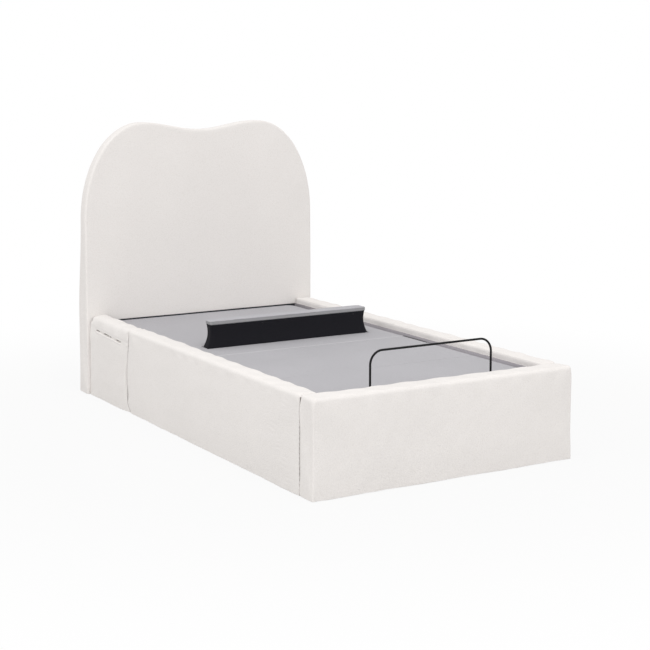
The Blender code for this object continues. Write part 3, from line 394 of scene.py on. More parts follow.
def along(curve, shares):
    """The points of an evenly spaced curve at shares of its length."""
    return np.stack([np.interp(shares, np.linspace(0, 1, len(curve)), c) for c in curve.T], -1)


def fill_outline(points, flank, crest, half, base):
    """Draws a grid of shares across and up to an outline: its flank, its crest and a level foot 2 * half wide."""
    u, v = points[:, :1], points[:, 2:]
    right, left = along(flank, v[:, 0]), along(flank, v[:, 0]) * (-1, 1)
    below = np.stack((half * (2 * u[:, 0] - 1), np.full(len(u), base)), -1)
    corners = (1 - v) * below + v * ((1 - u) * crest[0] + u * crest[-1])
    return (1 - v) * below + v * along(crest, u[:, 0]) + (1 - u) * left + u * right - corners


dip_x = np.linspace(peak, 0, 60)[1:]
dip = np.stack((dip_x, top_line - saddle + saddle * np.sin(pi / 2 * dip_x / peak) ** 2), -1)
crest = np.concatenate((shoulder_curve(np.linspace(pi / 4, pi / 2, 80)), dip))
crest = by_length(np.concatenate((crest, (crest * (-1, 1))[-2::-1]))[::-1], 900)
upright = np.stack((np.full(60, half_width), np.linspace(floor_line, shoulder, 60)), -1)
flank = by_length(np.concatenate((upright, shoulder_curve(np.linspace(0, pi / 4, 80))[1:])), 700)
edge = 0.035
us = grid_line(0, 1, 0.0135, edge / 1.26, edge / 1.26, 7)
vs = grid_line(0, 1, 0.0135, 0.004, edge / 1.3)
depth = grid_line(headboard_low[1], headboard_high[1], 0.017, edge, edge, 7)
points, quads = box_skin(us, depth, vs)
flat = fill_outline(points, flank, crest, half_width, floor_line)
rim = np.concatenate((flank, crest[::-1][1:-1], (flank * (-1, 1))[::-1]))
slope = np.gradient(rim, axis=0)
inward = np.stack((-slope[:, 1], slope[:, 0]), -1) / np.linalg.norm(slope, axis=1, keepdims=True)
nearest = np.concatenate([
    np.argmin(((part[:, None] - rim[None]) ** 2).sum(2), 1) for part in np.array_split(flat, 60)
])
inset = ((flat - rim[nearest]) * inward[nearest]).sum(1)
on_rim = (points[:, 0] < 1e-6) | (points[:, 0] > 1 - 1e-6) | (points[:, 2] > 1 - 1e-6)
inset = np.where(on_rim, 0, np.maximum(inset, 0))
local = np.stack((inset, points[:, 1], flat[:, 1]), -1)
softer = unit((flat[:, 1] - 0.40) / 0.55)
softer = softer**2 * (3 - 2 * softer)
softer = np.where(points[:, 1] < headboard_low[1] + 0.06, 0.011 + 0.003 * softer, 0.028 + 0.048 * softer)
radii = np.stack((softer, softer, np.full(len(flat), 0.003)), -1)
rounded = round_edges(local, (0, headboard_low[1], floor_line), (9, headboard_high[1], 9), radii, radii)
flat = flat + inward[nearest] * (rounded[:, :1] - inset[:, None])
shape = np.stack((flat[:, 0], rounded[:, 1], flat[:, 1] + rounded[:, 2] - local[:, 2]), -1)
headboard = add_piece("headboard_upholstery", shape, quads, pile_skin)
push_out(headboard, soft_drift(shape, 0.35, 0.0022, 3) - 0.002)
stapled = (points[:, 1] > headboard_high[1] - 1e-6) | (shape[:, 2] < 0.03)
fill_out(headboard, stapled, 0.004 * unit(shape[:, 2] / 0.12))
smooth_twice(headboard)
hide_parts("headboard_cover")


# The footboard and the side rails: straight timber boards in the same foam and cloth, square-cut with soft
# edges. The left rail is in two lengths, and the cloth puckers at the seam where they butt together.
round_top = 0.018


def bell(values, middle, width):
    """A bell curve: e to the power of minus the square of a value's distance from the middle, in widths."""
    return np.exp(-(((values - middle) / width) ** 2))


def pad_board(part, steps, seed, dents=None, bump_out=None, head_round=0.0, butt=0):
    """A padded board in its cover's box: a box skin whose corners are tight at the foot and softer at the top.

    The radii of its upright edges grow from 6 mm to round_top over the last stretch below the top, and head_round
    softens the top further at the board's head end. The end that butt names (-1 or 1) stays square up its edges.
    The skin then strays a little, as foam does under cloth, and its top is slightly wavy along its length.
    """
    low, high = (np.array(v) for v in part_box(part + "_cover"))
    low[2] = floor_line
    lines = [grid_line(low[k], high[k], steps[k], round_top, round_top) for k in range(2)]
    lines.append(grid_line(low[2], high[2], steps[2], 0.004, round_top))
    for axis, extra in (dents or {}).items():
        kept = [p for p in lines[axis] if p < extra[0] - 0.003 or p > extra[-1] + 0.003]
        lines[axis] = np.sort(np.concatenate((kept, extra)))
    points, quads = box_skin(*lines)
    rise = unit((points[:, 2] - high[2] + 2.2 * round_top) / round_top)
    side = 0.006 + (round_top - 0.006) * rise
    end = unit((points[:, 1] - high[1] + 0.09) / 0.07)
    crown = round_top + head_round * end
    at_head = side + head_round * rise
    square = np.full(len(points), 0.004)
    radii_low = np.stack((side, square if butt < 0 else side, np.full(len(points), 0.003)), -1)
    radii_high = np.stack((side, square if butt > 0 else at_head, crown), -1)
    shape = round_edges(points, low, high, radii_low, radii_high)
    piece = add_piece(part + "_upholstery", shape, quads, pile_skin)
    drift = soft_drift(shape, 0.30, 0.0018, seed) + soft_drift(shape, 0.075, 0.0011, seed + 50) - 0.0015
    run = shape[:, 0] + shape[:, 1]
    drift += 0.0018 * rise * np.sin(run * 2 * pi / 0.14 + seed + 1.3 * np.sin(9 * run))
    push_out(piece, drift + (bump_out(shape) if bump_out else 0))
    return piece, points, shape, low, high


def shift(piece, moves):
    """Moves each point of a piece by its own vector."""
    write_places(piece.data, read_places(piece.data) + moves.astype(np.float32))


def second_skin(mesh, chosen):
    """Gives the chosen faces of a mesh its second material."""
    mesh.polygons.foreach_set("material_index", chosen.astype(np.int32))


def shade_faces(piece, shade_painted):
    """Gives the faces whose four corners are all marked the piece's second material, the brown felt of painted shade.
    """
    corners = np.empty(len(piece.data.polygons) * 4, np.int32)
    piece.data.polygons.foreach_get("vertices", corners)
    second_skin(piece.data, shade_painted[corners.reshape(-1, 4)].all(1))


def at_ends(points, low, high):
    """Which points of a rail's grid lie on its two ends, behind the rounded edges."""
    at_end = np.minimum(np.abs(points[:, 1] - low[1]), np.abs(points[:, 1] - high[1])) < 1e-6
    return at_end & (np.abs(points[:, 0]) < max(-low[0], high[0]) - 0.004) & (points[:, 2] < high[2] - 0.012)


def finish_board(piece, held, height, *nodes):
    """Fills a padded board out, more with height above the floor, smooths it, and puts it in place of its nodes."""
    fill_out(piece, held, 0.003 * unit((height - 0.01) / 0.1))
    smooth_twice(piece)
    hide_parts(*nodes)


low_down = 0.02
footboard, points, shape, low, high = pad_board("footboard", (0.017, 0.02, 0.017), 11)
finish_board(footboard, (points[:, 1] > high[1] - 1e-6) | (shape[:, 2] < low_down), shape[:, 2], "footboard_cover")

right_rail, points, shape, low, high = pad_board("right_rail", (0.02, 0.018, 0.017), 12)
shade_faces(right_rail, at_ends(points, low, high))
finish_board(right_rail, (points[:, 0] < low[0] + 1e-6) | (shape[:, 2] < low_down), shape[:, 2], "right_rail_cover")

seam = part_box("pocket_rail_cover")[0][1]


def puckers(shape):
    """Short ripples across the seam: a wave up the face and over the top that dies away within 30 mm of it."""
    x, y, z = shape.T
    from_seam = np.abs(y - seam)
    around = z + (x + 0.6) * 0.7
    wave = np.sin(around * 2 * pi / 0.034 + 1.6 * np.sin(around * 41)) * (0.6 + 0.4 * np.sin(around * 23))
    off_end = unit((from_seam - 0.002) / 0.007)
    strength = np.where(y < seam, 0.0012, 0.0032)
    return off_end * (strength * wave * bell(from_seam, 0, 0.026) - 0.0028 * bell(from_seam, 0, 0.010))


def corner_ripples(shape):
    """Fine level creases in short patches, where the cloth is pulled in at the rail's foot end."""
    y, z = shape.T[1:]
    from_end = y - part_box("left_rail_cover")[0][1]
    wave = np.sin(z * 2 * pi / 0.0185 + 2.6 * np.sin(z * 31 + from_end * 43) + from_end * 17)
    patch = np.sin(z * 41 + 1 + from_end * 19) * np.sin(from_end * 52 + z * 15)
    return 0.0010 * wave * bell(from_end, 0.15, 0.12) * unit(1.3 * patch - 0.3)


def drawn_folds(shape):
    """Upright folds in the pocket's length beside the seam, and its slightly fuller face beyond them."""
    x, y, z = shape.T
    from_seam = y - seam
    fold = np.sin(from_seam * 2 * pi / 0.021 + 8 * z) * bell(from_seam, 0.035, 0.025)
    fuller = unit((from_seam - 0.01) / 0.09) * unit((0.37 - z) / 0.06)
    return 0.0017 * fold * bell(z, 0.18, 0.09) + 0.0045 * fuller * (x < -0.58)


def seam_sway(shape):
    """How far the seam strays towards the headboard: most at the rail's mid-height, dying away from the seam."""
    rise, fall = (unit((shape[:, 2] - start) / span) for start, span in ((0.0, 0.05), (0.19, 0.20)))
    belly = 0.026 * (rise**2 * (3 - 2 * rise) - fall**2 * (3 - 2 * fall))
    belly += 0.010 * unit(shape[:, 2] / 0.04)
    sway = np.zeros_like(shape)
    sway[:, 1] = belly * np.exp(-np.abs(shape[:, 1] - seam) / 0.05)
    return sway


left_rail, points, shape, low, high = pad_board(
    "left_rail",
    (0.02, 0.017, 0.005),
    13,
    {1: seam - np.linspace(0.05, 0.0, 12) - 0.0003},
    lambda shape: puckers(shape) + corner_ripples(shape) + 0.001,
    butt=1,
)
gape = np.zeros_like(shape)
gape[:, 1] = -(0.0010 + 0.0052 * bell(shape[:, 2], 0.07, 0.10)) * bell(shape[:, 1], seam, 0.03)
stitch = 0.0002 + 0.0013 * np.sin(shape[:, 2] * 2 * pi / 0.020 + np.sin(shape[:, 2] * 37))
gape[:, 1] += stitch * bell(shape[:, 1], low[1], 0.02) * unit((0.35 - shape[:, 2]) / 0.05)
shift(left_rail, seam_sway(shape) + gape)
shade_faces(left_rail, at_ends(points, low, high))
finish_board(left_rail, (points[:, 0] > high[0] - 1e-6) | (shape[:, 2] < low_down), shape[:, 2], "left_rail_cover")

slit_low, slit_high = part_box("side_pocket")[0][1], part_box("side_pocket")[1][1]
slit_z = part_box("side_pocket")[1][2] + 0.0075


def how_ajar(shape):
    """Half the slit's opening along its length, in a slow wave, and 0 beyond its ends."""
    inside = (shape[:, 1] > slit_low) & (shape[:, 1] < slit_high) & (shape[:, 0] < -0.6)
    return inside * (0.0024 + 0.0017 * np.sin((shape[:, 1] - slit_low) * 2 * pi / 0.145 + 0.9))


def pocket_mouth(shape):
    """The pocket's slit: a groove up to 8 mm high and 17 mm deep between its ends, over a rolled lip."""
    x, y, z = shape.T
    on_face = unit((-0.60 - x) / 0.012)
    inside = unit((y - slit_low) / 0.008) * unit((slit_high - y) / 0.008)
    height = z - slit_z
    groove = unit((how_ajar(shape) - np.abs(height)) / 0.0022)
    lips = 0.0052 * bell(height, -0.0080, 0.0042) + 0.001 * bell(height, 0.0085, 0.0045)
    return on_face * inside * (lips - 0.017 * groove)


rows = np.array([0, 2.2, 4.2, 5.6, 7.2, 9, 11, 13.5, 17, 22])
rows = slit_z + np.concatenate((-rows[:0:-1], rows)) / 1000
pocket_rail, points, shape, low, high = pad_board(
    "pocket_rail",
    (0.02, 0.016, 0.0125),
    14,
    {1: seam + np.linspace(0.0, 0.05, 12), 2: rows},
    lambda shape: puckers(shape) + pocket_mouth(shape) + drawn_folds(shape),
    0.018,
    butt=-1,
)
sag = np.zeros_like(shape)
sag[:, 2] = -0.013 * unit((slit_high - shape[:, 1]) / 0.3) ** 1.4 * bell(shape[:, 2], slit_z, 0.06)
shift(pocket_rail, seam_sway(shape) + sag)
# Painted shade: the slit's groove takes the brown felt too, for the shade inside the pocket's opening.
in_slit = (np.abs(shape[:, 2] - slit_z) < 0.0024) & (how_ajar(shape) > 0.0014)
shade_faces(pocket_rail, at_ends(points, low, high) | in_slit)
near_slit = np.abs(points[:, 2] - slit_z) < 0.012
held = (points[:, 0] > high[0] - 1e-6) | (shape[:, 2] < low_down) | near_slit
finish_board(pocket_rail, held, shape[:, 2], "pocket_rail_cover", "side_pocket")


# The lining, painted shade: a grey felt strip stapled along the inner faces of the surround, where the deck moves past,
# its grey painting the shade in that gap, and black felt at the head painting the shadow in the thin gap there. Brown
# felt inside the pocket and over the rails' ends is painted shade too, and shows as a dark line where two panels meet.
def tape(low, high):
    """A thin box as a skin of a few quads."""
    return box_skin(*(np.linspace(low[k], high[k], n) for k, n in zip(range(3), (4, 4, 4))))


weave, given, place = make_effect(
    "woven_cloth",
    {"Pale": (0.5, 0.5, 0.5, 1), "Dark": (0.4, 0.4, 0.4, 1), "Thread": 2600.0, "Slub": 0.5},
)
axes = add_node(weave, "SeparateXYZ", {0: place}).outputs
threads = []
for lie in ("X", "Y"):
    turns = add_sum(weave, "MULTIPLY", add_sum(weave, "ADD", axes[lie], axes["Z"]), given["Thread"])
    threads.append(add_sum(weave, "SINE", turns, 0))
knuckle = ramp(weave, add_sum(weave, "MULTIPLY", *threads), -1, 1)
slub = add_sum(weave, "MULTIPLY", noise(weave, place, 160.0, 2.0), given["Slub"])
height = add_sum(weave, "ADD", knuckle, slub)
# Painted shade: the tone runs dark where the weave is low, between the threads, and pale on the knuckles.
tint = mix_colours(weave, ramp(weave, height, 0.2, 1.3), given["Dark"], given["Pale"])
put_out(weave, clouded(weave, tint, place, 3.5, 4.0, 0.95), ramp(weave, height, 0.2, 1.3, 0.95, 0.8), height)


def cloth_skin(name, pale, dark, thread, strength, distance, gloss, **plain):
    """A woven cloth in two tones, the dark one painted shade between the threads; thread sets how fine it is, gloss its
    specular level.
    """
    values = {"Pale": (*pale, 1), "Dark": (*dark, 1), "Thread": thread}
    return make_material(name, weave, values, strength, distance, specular_ior_level=gloss, **plain)


# Painted shade: the grey felt paints the shade in the gaps beside the deck, and the black felt the shadow in the thin
# gap at the head.
gap_shade_skin = cloth_skin("painted_gap_shade_grey", (0.40, 0.378, 0.405), (0.315, 0.298, 0.32), 900.0, 0.3, 0.0006, 0.25)
gap_shadow_skin = cloth_skin("painted_gap_shadow_black", (0.05, 0.05, 0.055), (0.025, 0.025, 0.03), 900.0, 0.3, 0.0006, 0.2)
# Painted shade: the brown felt on the rails' ends and in the pocket's slit stands for the shade in those seams.
seam_shade_skin = cloth_skin("painted_seam_shade_brown", (0.33, 0.305, 0.285), (0.22, 0.20, 0.19), 900.0, 0.3, 0.0006, 0.2)
for rail in (left_rail, pocket_rail, right_rail):
    rail.data.materials.append(seam_shade_skin)
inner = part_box("right_rail_cover")[0][0]
foot_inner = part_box("footboard_cover")[1][1]
head_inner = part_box("headboard_cover")[0][1]
hem_z, top_z, proud, sunk = 0.246, 0.366, 0.005, 0.002
strips = (
    ("gap_shade_strip_right", (inner - proud, foot_inner, hem_z), (inner + sunk, head_inner, top_z)),
    ("gap_shade_strip_left", (-inner - sunk, foot_inner, hem_z), (-inner + proud, head_inner, top_z)),
    ("gap_shade_strip_foot", (-inner, foot_inner - sunk, hem_z), (inner, foot_inner + proud, 0.364)),
    ("gap_shadow_strip_head", (-inner, head_inner - 0.006, hem_z), (inner, head_inner + sunk, top_z)),
)
for name, low, high in strips:
    points, quads = tape(low, high)
    add_piece(name, points, quads, gap_shadow_skin if name == "gap_shadow_strip_head" else gap_shade_skin)


# The deck: four boards under thin foam and a plain grey cloth, which meet in tight folds at the hinges. The cloth
# is stapled under their edges, where the bare board shows. The back board's head corners are rounded, and it has
# the long slot that the lumbar strip rises through.
deck_skin = cloth_skin("deck_cloth", (0.505, 0.50, 0.522), (0.405, 0.40, 0.422), 2200.0, 0.45, 0.0007, 0.25)

grained, given, place = make_effect(
    "sawn_grain",
    {"Pale": (0.68, 0.54, 0.38, 1), "Dark": (0.55, 0.40, 0.25, 1)},
)
drawn = add_node(grained, "Mapping", {"Vector": place, "Scale": (2.5, 38.0, 34.0)}).outputs[0]
ring = noise(grained, drawn, 1.6, 6.0, Distortion=0.6)
pore = noise(grained, drawn, 22.0, 3.0)
late = add_sum(grained, "MULTIPLY", ramp(grained, ring, 0.4, 0.6), ramp(grained, pore, 0.3, 0.7, 0.6, 1.0))
wood = mix_colours(grained, late, given["Pale"], given["Dark"])
put_out(grained, wood, ramp(grained, pore, 0.3, 0.7, 0.6, 0.75), pore)
timber_skin = make_material("planed_softwood", grained, {}, 0.15, 0.0004)


def round_plan(points, half, end, radius):
    """Draws the two corners at y = end to quarter circles: squares round each corner's centre become circles."""
    out = points.copy()
    core_x = np.clip(points[:, 0], -half + radius, half - radius)
    core = np.stack((core_x, np.minimum(points[:, 1], end - radius)), -1)
    away = points[:, :2] - core
    reach = np.linalg.norm(away, axis=1)
    square = np.abs(away).max(1)
    out[:, :2] = core + away * np.where(reach > 1e-9, square / np.maximum(reach, 1e-9), 1)[:, None]
    return out


def deck_board(name, node, body, folds, seed, slot_x=None, slot_y=None):
    """A covered deck board in its node's box.

    folds gives the height of the hinge axis at an end (-1 or 1): there the end is a half circle of 8 mm about the
    axis, and the rest of the end stands back by as much. Slot lines open the board from top to bottom.
    """
    low, high = (np.array(v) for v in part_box(node))
    fold = 0.008
    ys = grid_line(low[1], high[1], 0.03, 0 if -1 in folds else 0.012, 0 if 1 in folds else 0.05, 5)
    xs = grid_line(low[0], high[0], 0.03, 0.05, 0.05, 5)
    hole = None
    if slot_x:
        xs = np.sort(np.concatenate((xs[np.abs(np.abs(xs) - slot_x) > 0.012], (-slot_x, slot_x))))
        ys = np.sort(np.concatenate((ys[(ys < slot_y[0] - 0.012) | (ys > slot_y[1] + 0.012)], slot_y)))
        sides = ((xs, (-slot_x, slot_x)), (ys, slot_y))
        hole = [[int(np.argmin(np.abs(line - end))) for end in ends] for line, ends in sides]
    zs = np.linspace(low[2], high[2], 8)
    for end, height in folds.items():
        arc = height - fold * np.cos(np.linspace(0, pi, 9))
        zs = np.concatenate((zs[(zs < arc[0] - 0.003) | (zs > arc[-1] + 0.003)], arc))
    points, quads = box_skin(xs, ys, np.sort(zs), hole)
    shape = points.copy()
    for end, height in folds.items():
        tip = high[1] if end > 0 else low[1]
        at = np.abs(points[:, 1] - tip) < 1e-6
        rise = unit(np.abs(points[at, 2] - height) / fold)
        shape[at, 1] = tip - end * fold * (1 - np.sqrt(1 - rise**2))
    if slot_x:
        shape = round_plan(shape, high[0], high[1], 0.045)
    top = points[:, 2] > high[2] - 1e-6
    inside = (points[:, 1] > low[1] + 1e-3) & (points[:, 1] < high[1] - 1e-3)
    inside &= np.abs(points[:, 0]) < high[0] - 1e-3
    shape[top & inside, 2] += soft_drift(shape, 0.25, 0.0006, seed)[top & inside]
    piece = add_piece(name, shape, quads, deck_skin, body)
    piece.data.materials.append(timber_skin)
    centre = shape[quads].mean(1)
    bare = (centre[:, 2] < low[2] + 1e-6) & (np.abs(centre[:, 0]) < high[0] - 0.04)
    bare &= (centre[:, 1] > low[1] + 0.04) & (centre[:, 1] < high[1] - 0.04)
    if slot_x:
        beside = (centre[:, 1] < slot_y[0] - 0.02) | (centre[:, 1] > slot_y[1] + 0.02)
        bare &= beside | (np.abs(centre[:, 0]) > slot_x + 0.02)
    second_skin(piece.data, bare)
    soft = piece.modifiers.new("soft_edges", "BEVEL")
    soft.width = 0.0035
    soft.segments = 3
    soft.limit_method = "ANGLE"
    soft.angle_limit = radians(40)
    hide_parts(node)
    return piece


skirt_low, skirt_high = (np.array(v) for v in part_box("lumbar_skirt"))
deck_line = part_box("back_deck")[1][2]
hinge_high, hinge_low = 0.352, 0.333
slot_play = 0.0038
slot_y = (skirt_low[1] - slot_play, skirt_high[1] + slot_play)
deck_board("seat_deck_board", "seat_deck", "root", {}, 21)
deck_board("back_deck_board", "back_deck", "back_section", {-1: hinge_high}, 22, skirt_high[0] + slot_play, slot_y)
deck_board("thigh_deck_board", "thigh_deck", "thigh_section", {1: hinge_high}, 23)
deck_board("leg_deck_board", "leg_deck", "leg_section", {1: hinge_low}, 24)


# Painted highlight: a paler thread cloth stands for the light caught on the crease where the deck folds at the back
# hinge.
crease_highlight_skin = cloth_skin("painted_crease_highlight", (0.72, 0.715, 0.73), (0.6, 0.595, 0.61), 5200.0, 0.3, 0.0004, 0.25)


def hinge_cloth(name, line, half, ridge, board):
    """The cover's cloth where it crosses a hinge: a thin strip, thickest along its middle.

    Its upper face is the deck's top plus ridge times a squared cosine across the strip, and it is 0.9 mm thick. A
    strip with a ridge has a paler stripe of thread along its middle, a painted highlight on the crease.
    """
    across = np.linspace(-1, 1, 33)
    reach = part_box(board)[1][0] - 0.0032
    along = np.linspace(-reach, reach, 60)
    x, share = np.meshgrid(along, across, indexing="ij")
    top = deck_line + 0.0001 + (0.0005 + ridge) * np.cos(pi / 2 * share) ** 2
    top += 0.0003 * bell(share, 0, 0.12) * (ridge > 0)
    faces = [np.stack((x, line + half * share, z), -1) for z in (top, top - 0.0009)]
    index = np.arange(x.size * 2).reshape(2, *x.shape)
    quads = []
    for level, flip in ((0, False), (1, True)):
        quad = grid_quads(index[level]).reshape(-1, 4)
        quads.append(quad[:, ::-1] if flip else quad)
    rim = np.concatenate((index[:, 0, :], index[:, 1:, -1], index[:, -1, -2::-1], index[:, -2:0:-1, 0]), 1)
    after = np.roll(rim, -1, 1)
    quads.append(np.stack((rim[1], rim[0], after[0], after[1]), -1)[:, ::-1])
    data = bpy.data.meshes.new(name)
    points, quads = np.concatenate([face.reshape(-1, 3) for face in faces]), np.concatenate(quads)
    data.from_pydata(points.tolist(), [], quads.tolist())
    data.materials.append(deck_skin)
    data.shade_smooth()
    # Painted highlight along the crease: the middle faces take the paler thread cloth.
    if ridge:
        data.materials.append(crease_highlight_skin)
        second_skin(data, np.abs(points[quads].mean(1)[:, 1] - line) < 0.0021)
    piece = place_object(name, data)
    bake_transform(piece)


half_strip = 0.016
back_line, thigh_line, knee_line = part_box("back_deck")[0][1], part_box("thigh_deck")[1][1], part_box("leg_deck")[1][1]
hinge_cloth("back_hinge_cloth", back_line, half_strip, 0.0004, "back_deck")
hinge_cloth("thigh_hinge_cloth", thigh_line, half_strip, 0.0, "thigh_deck")
hinge_cloth("knee_hinge_cloth", knee_line, half_strip, 0.0, "leg_deck")


# The lumbar strip: a slim firm cushion, grey cloth over foam on a steel board, its upright sides painted darker as
# painted shade.
cushion_low, cushion_high = (np.array(v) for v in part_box("lumbar_cushion"))
cushion_low += (0.0006, 0.0006, 0.0)
cushion_high -= (0.0006, 0.0006, 0.0025)
middle = (cushion_low + cushion_high) / 2
half = (cushion_high - cushion_low) / 2
points, quads = box_skin(
    grid_line(cushion_low[0], cushion_high[0], 0.0065, 0.010, 0.010, 5),
    grid_line(cushion_low[1], cushion_high[1], 0.0065, 0.008, 0.008, 5),
    grid_line(cushion_low[2], cushion_high[2], 0.004, 0.003, 0.006, 4),
)
shape = round_edges(points, cushion_low, cushion_high, (0.010, 0.008, 0.003), (0.010, 0.008, 0.006))
along_x, along_y = ((shape[:, k] - middle[k]) / half[k] for k in range(2))
on_top = shape[:, 2] > middle[2]
shape[:, 2] += np.where(on_top, 0.0022 * (1 - along_x**6) * (1 - along_y**2), 0)
waist = 0.0012 * (1 - along_x**2) * np.abs(along_y) * (1 - ((shape[:, 2] - middle[2]) / half[2]) ** 2).clip(0)
shape[:, 1] -= np.sign(along_y) * waist
shape[:, 2] += np.where(on_top, soft_drift(shape, 0.12, 0.0005, 31), 0)
cushion = add_piece("lumbar_pad", shape, quads, deck_skin, "lumbar_strip")
# Painted shade: the cushion's upright sides take a darker cloth than its top, for the shade that falls on them.
side_shade_skin = cloth_skin("painted_side_shade_cloth", (0.33, 0.33, 0.34), (0.25, 0.25, 0.26), 2400.0, 0.25, 0.0006, 0.25)
cushion.data.materials.append(side_shade_skin)
face_middle = shape[quads].mean(1)
aside = np.maximum(np.abs(face_middle[:, 0] - middle[0]) - half[0], np.abs(face_middle[:, 1] - middle[1]) - half[1])
shaded_sides = (aside > -0.0022) & (face_middle[:, 2] < cushion_high[2] - 0.004)
second_skin(cushion.data, shaded_sides)
fill_out(cushion, shape[:, 2] < cushion_low[2] + 0.004, 0.0012, 3.0)
smooth_twice(cushion)
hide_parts("lumbar_cushion")


# The skirt: a black stretch-cloth sleeve round the lifting board, hemmed to the strip and tucked into the deck's
# slot. It is drawn in at the waist and folds a little at its ends.
stretch_skin = cloth_skin(
    "stretch_cloth", (0.012, 0.0115, 0.016), (0.005, 0.005, 0.007), 3200.0, 0.25, 0.0005, 0.15, sheen_weight=0.05
)
strip_y = (skirt_low[1] + skirt_high[1]) / 2
rail_count, end_count, turn_count = 170, 5, 7
core_x, core_y, way = [], [], []
for sign_x, sign_y, start in ((1, 1, 0), (-1, 1, pi / 2), (-1, -1, pi), (1, -1, 3 * pi / 2)):
    is_long = sign_x * sign_y > 0
    side = np.linspace(0, 1, rail_count if is_long else end_count, endpoint=False)[1:]
    core_x += [np.full(turn_count, sign_x), sign_x - 2 * sign_x * side * is_long]
    core_y += [np.full(turn_count, sign_y), sign_y - 2 * sign_y * side * (not is_long)]
    way += [start + np.linspace(0, pi / 2, turn_count), np.full(len(side), start + pi / 2)]
core_x, core_y, way = (np.concatenate(part)[None] for part in (core_x, core_y, way))
share = np.concatenate((np.linspace(-0.31, 0, 8, endpoint=False), np.linspace(0, 1, 46)))[:, None]
level = np.where(share < 0, skirt_low[2] + (deck_line - skirt_low[2]) * (share + 0.31) / 0.31, 0)
level = np.where(share >= 0, deck_line + (skirt_high[2] - deck_line) * share, level)
eased = (1 - share.clip(0, 1)) ** 2
pull = np.sin(pi * share.clip(0, 1))
board_x, board_y = 0.41125, 0.02625
size_x = board_x + (skirt_high[0] - board_x) * eased - 0.0072 * pull
size_y = board_y + ((skirt_high[1] - skirt_low[1]) / 2 - board_y) * eased - 0.0037 * pull
corner = size_y / 2
run = core_x * 0.41 + 0.3 * core_y
bulge = np.sin(pi * share.clip(0, 1)) ** 0.7
fold = 0.00038 * bulge * (1 + np.sin(run * 2 * pi / 0.085 + 3.1 * share + 1.7 * np.sin(run * 19)))
near_end = np.exp(-((1 - np.abs(core_x)) / 0.12))
fold = fold * (0.35 + 0.65 * near_end) + 0.0006 * bell(share, 0.93, 0.012)


def skirt_wall(thinner):
    """One wall of the skirt: rounded rectangles up its height, each point stood in along its own direction."""
    reach = corner - fold - thinner
    x = core_x * (size_x - corner) + reach * np.cos(way)
    y = core_y * (size_y - corner) + reach * np.sin(way) + strip_y
    return np.stack((x, y, level + 0 * x), -1)


walls = np.concatenate((skirt_wall(0.0), skirt_wall(0.0014)[::-1]))
rows, columns = walls.shape[:2]
index = np.arange(rows * columns).reshape(rows, columns)
after = np.roll(index, -1, 1)
next_row, next_after = np.roll(index, -1, 0), np.roll(after, -1, 0)
quads = np.stack((index, after, next_after, next_row), -1).reshape(-1, 4)
skirt = add_piece("lumbar_skirt_cloth", walls.reshape(-1, 3), quads, stretch_skin, "back_section")
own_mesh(skirt)
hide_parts("lumbar_skirt")


# The retainer: a steel rod bent to a low hoop and coated satin black, which stands in two sockets at the deck's end
# and holds the mattress on. The sockets are moulded.
coating, given, place = make_effect(
    "coated_steel",
    {"Pale": (0.03, 0.03, 0.03, 1), "Scuff": (0.1, 0.1, 0.1, 1), "Wear": 0.5},
)
grain = noise(coating, place, 420.0, 2.0)
patch = noise(coating, place, 38.0, 6.0, Roughness=0.7)
scuffed = add_sum(coating, "MULTIPLY", ramp(coating, patch, 0.62, 0.78), given["Wear"])
paint = mix_colours(coating, scuffed, given["Pale"], given["Scuff"])
put_out(coating, paint, ramp(coating, patch, 0.3, 0.7, 0.36, 0.5), grain)
coated_skin = make_material(
    "coated_steel_black",
    coating,
    {"Pale": (0.004, 0.004, 0.005, 1), "Scuff": (0.03, 0.03, 0.03, 1)},
    0.12,
    0.0004,
    specular_ior_level=0.16,
)


def tube_faces(count, sides):
    """The quads of a tube of rings, and the two faces that close its ends."""
    index = np.arange(count * sides).reshape(-1, sides)
    after = np.roll(index, -1, 1)
    quads = np.stack((index[:-1], after[:-1], after[1:], index[1:]), -1).reshape(-1, 4).tolist()
    return quads + [index[0][::-1].tolist(), index[-1].tolist()]


def sweep(path, radius, sides, side_way):
    """A round bar with domed ends along a path: circles square to it, turned about a way that it never takes."""
    ahead = np.gradient(path, axis=0)
    ahead /= np.linalg.norm(ahead, axis=1, keepdims=True)
    side = np.cross(ahead, side_way)
    side /= np.linalg.norm(side, axis=1, keepdims=True)
    up = np.cross(side, ahead)
    dome = np.sin(np.linspace(0.12, pi / 2, 4))
    ends = np.concatenate((dome, np.ones(len(path) - 2 * len(dome)), dome[::-1]))
    turn = np.linspace(0, 2 * pi, sides, endpoint=False)[None, :, None]
    rings = path[:, None] + radius * ends[:, None, None] * (np.cos(turn) * side[:, None] + np.sin(turn) * up[:, None])
    return rings.reshape(-1, 3), tube_faces(len(rings), sides)


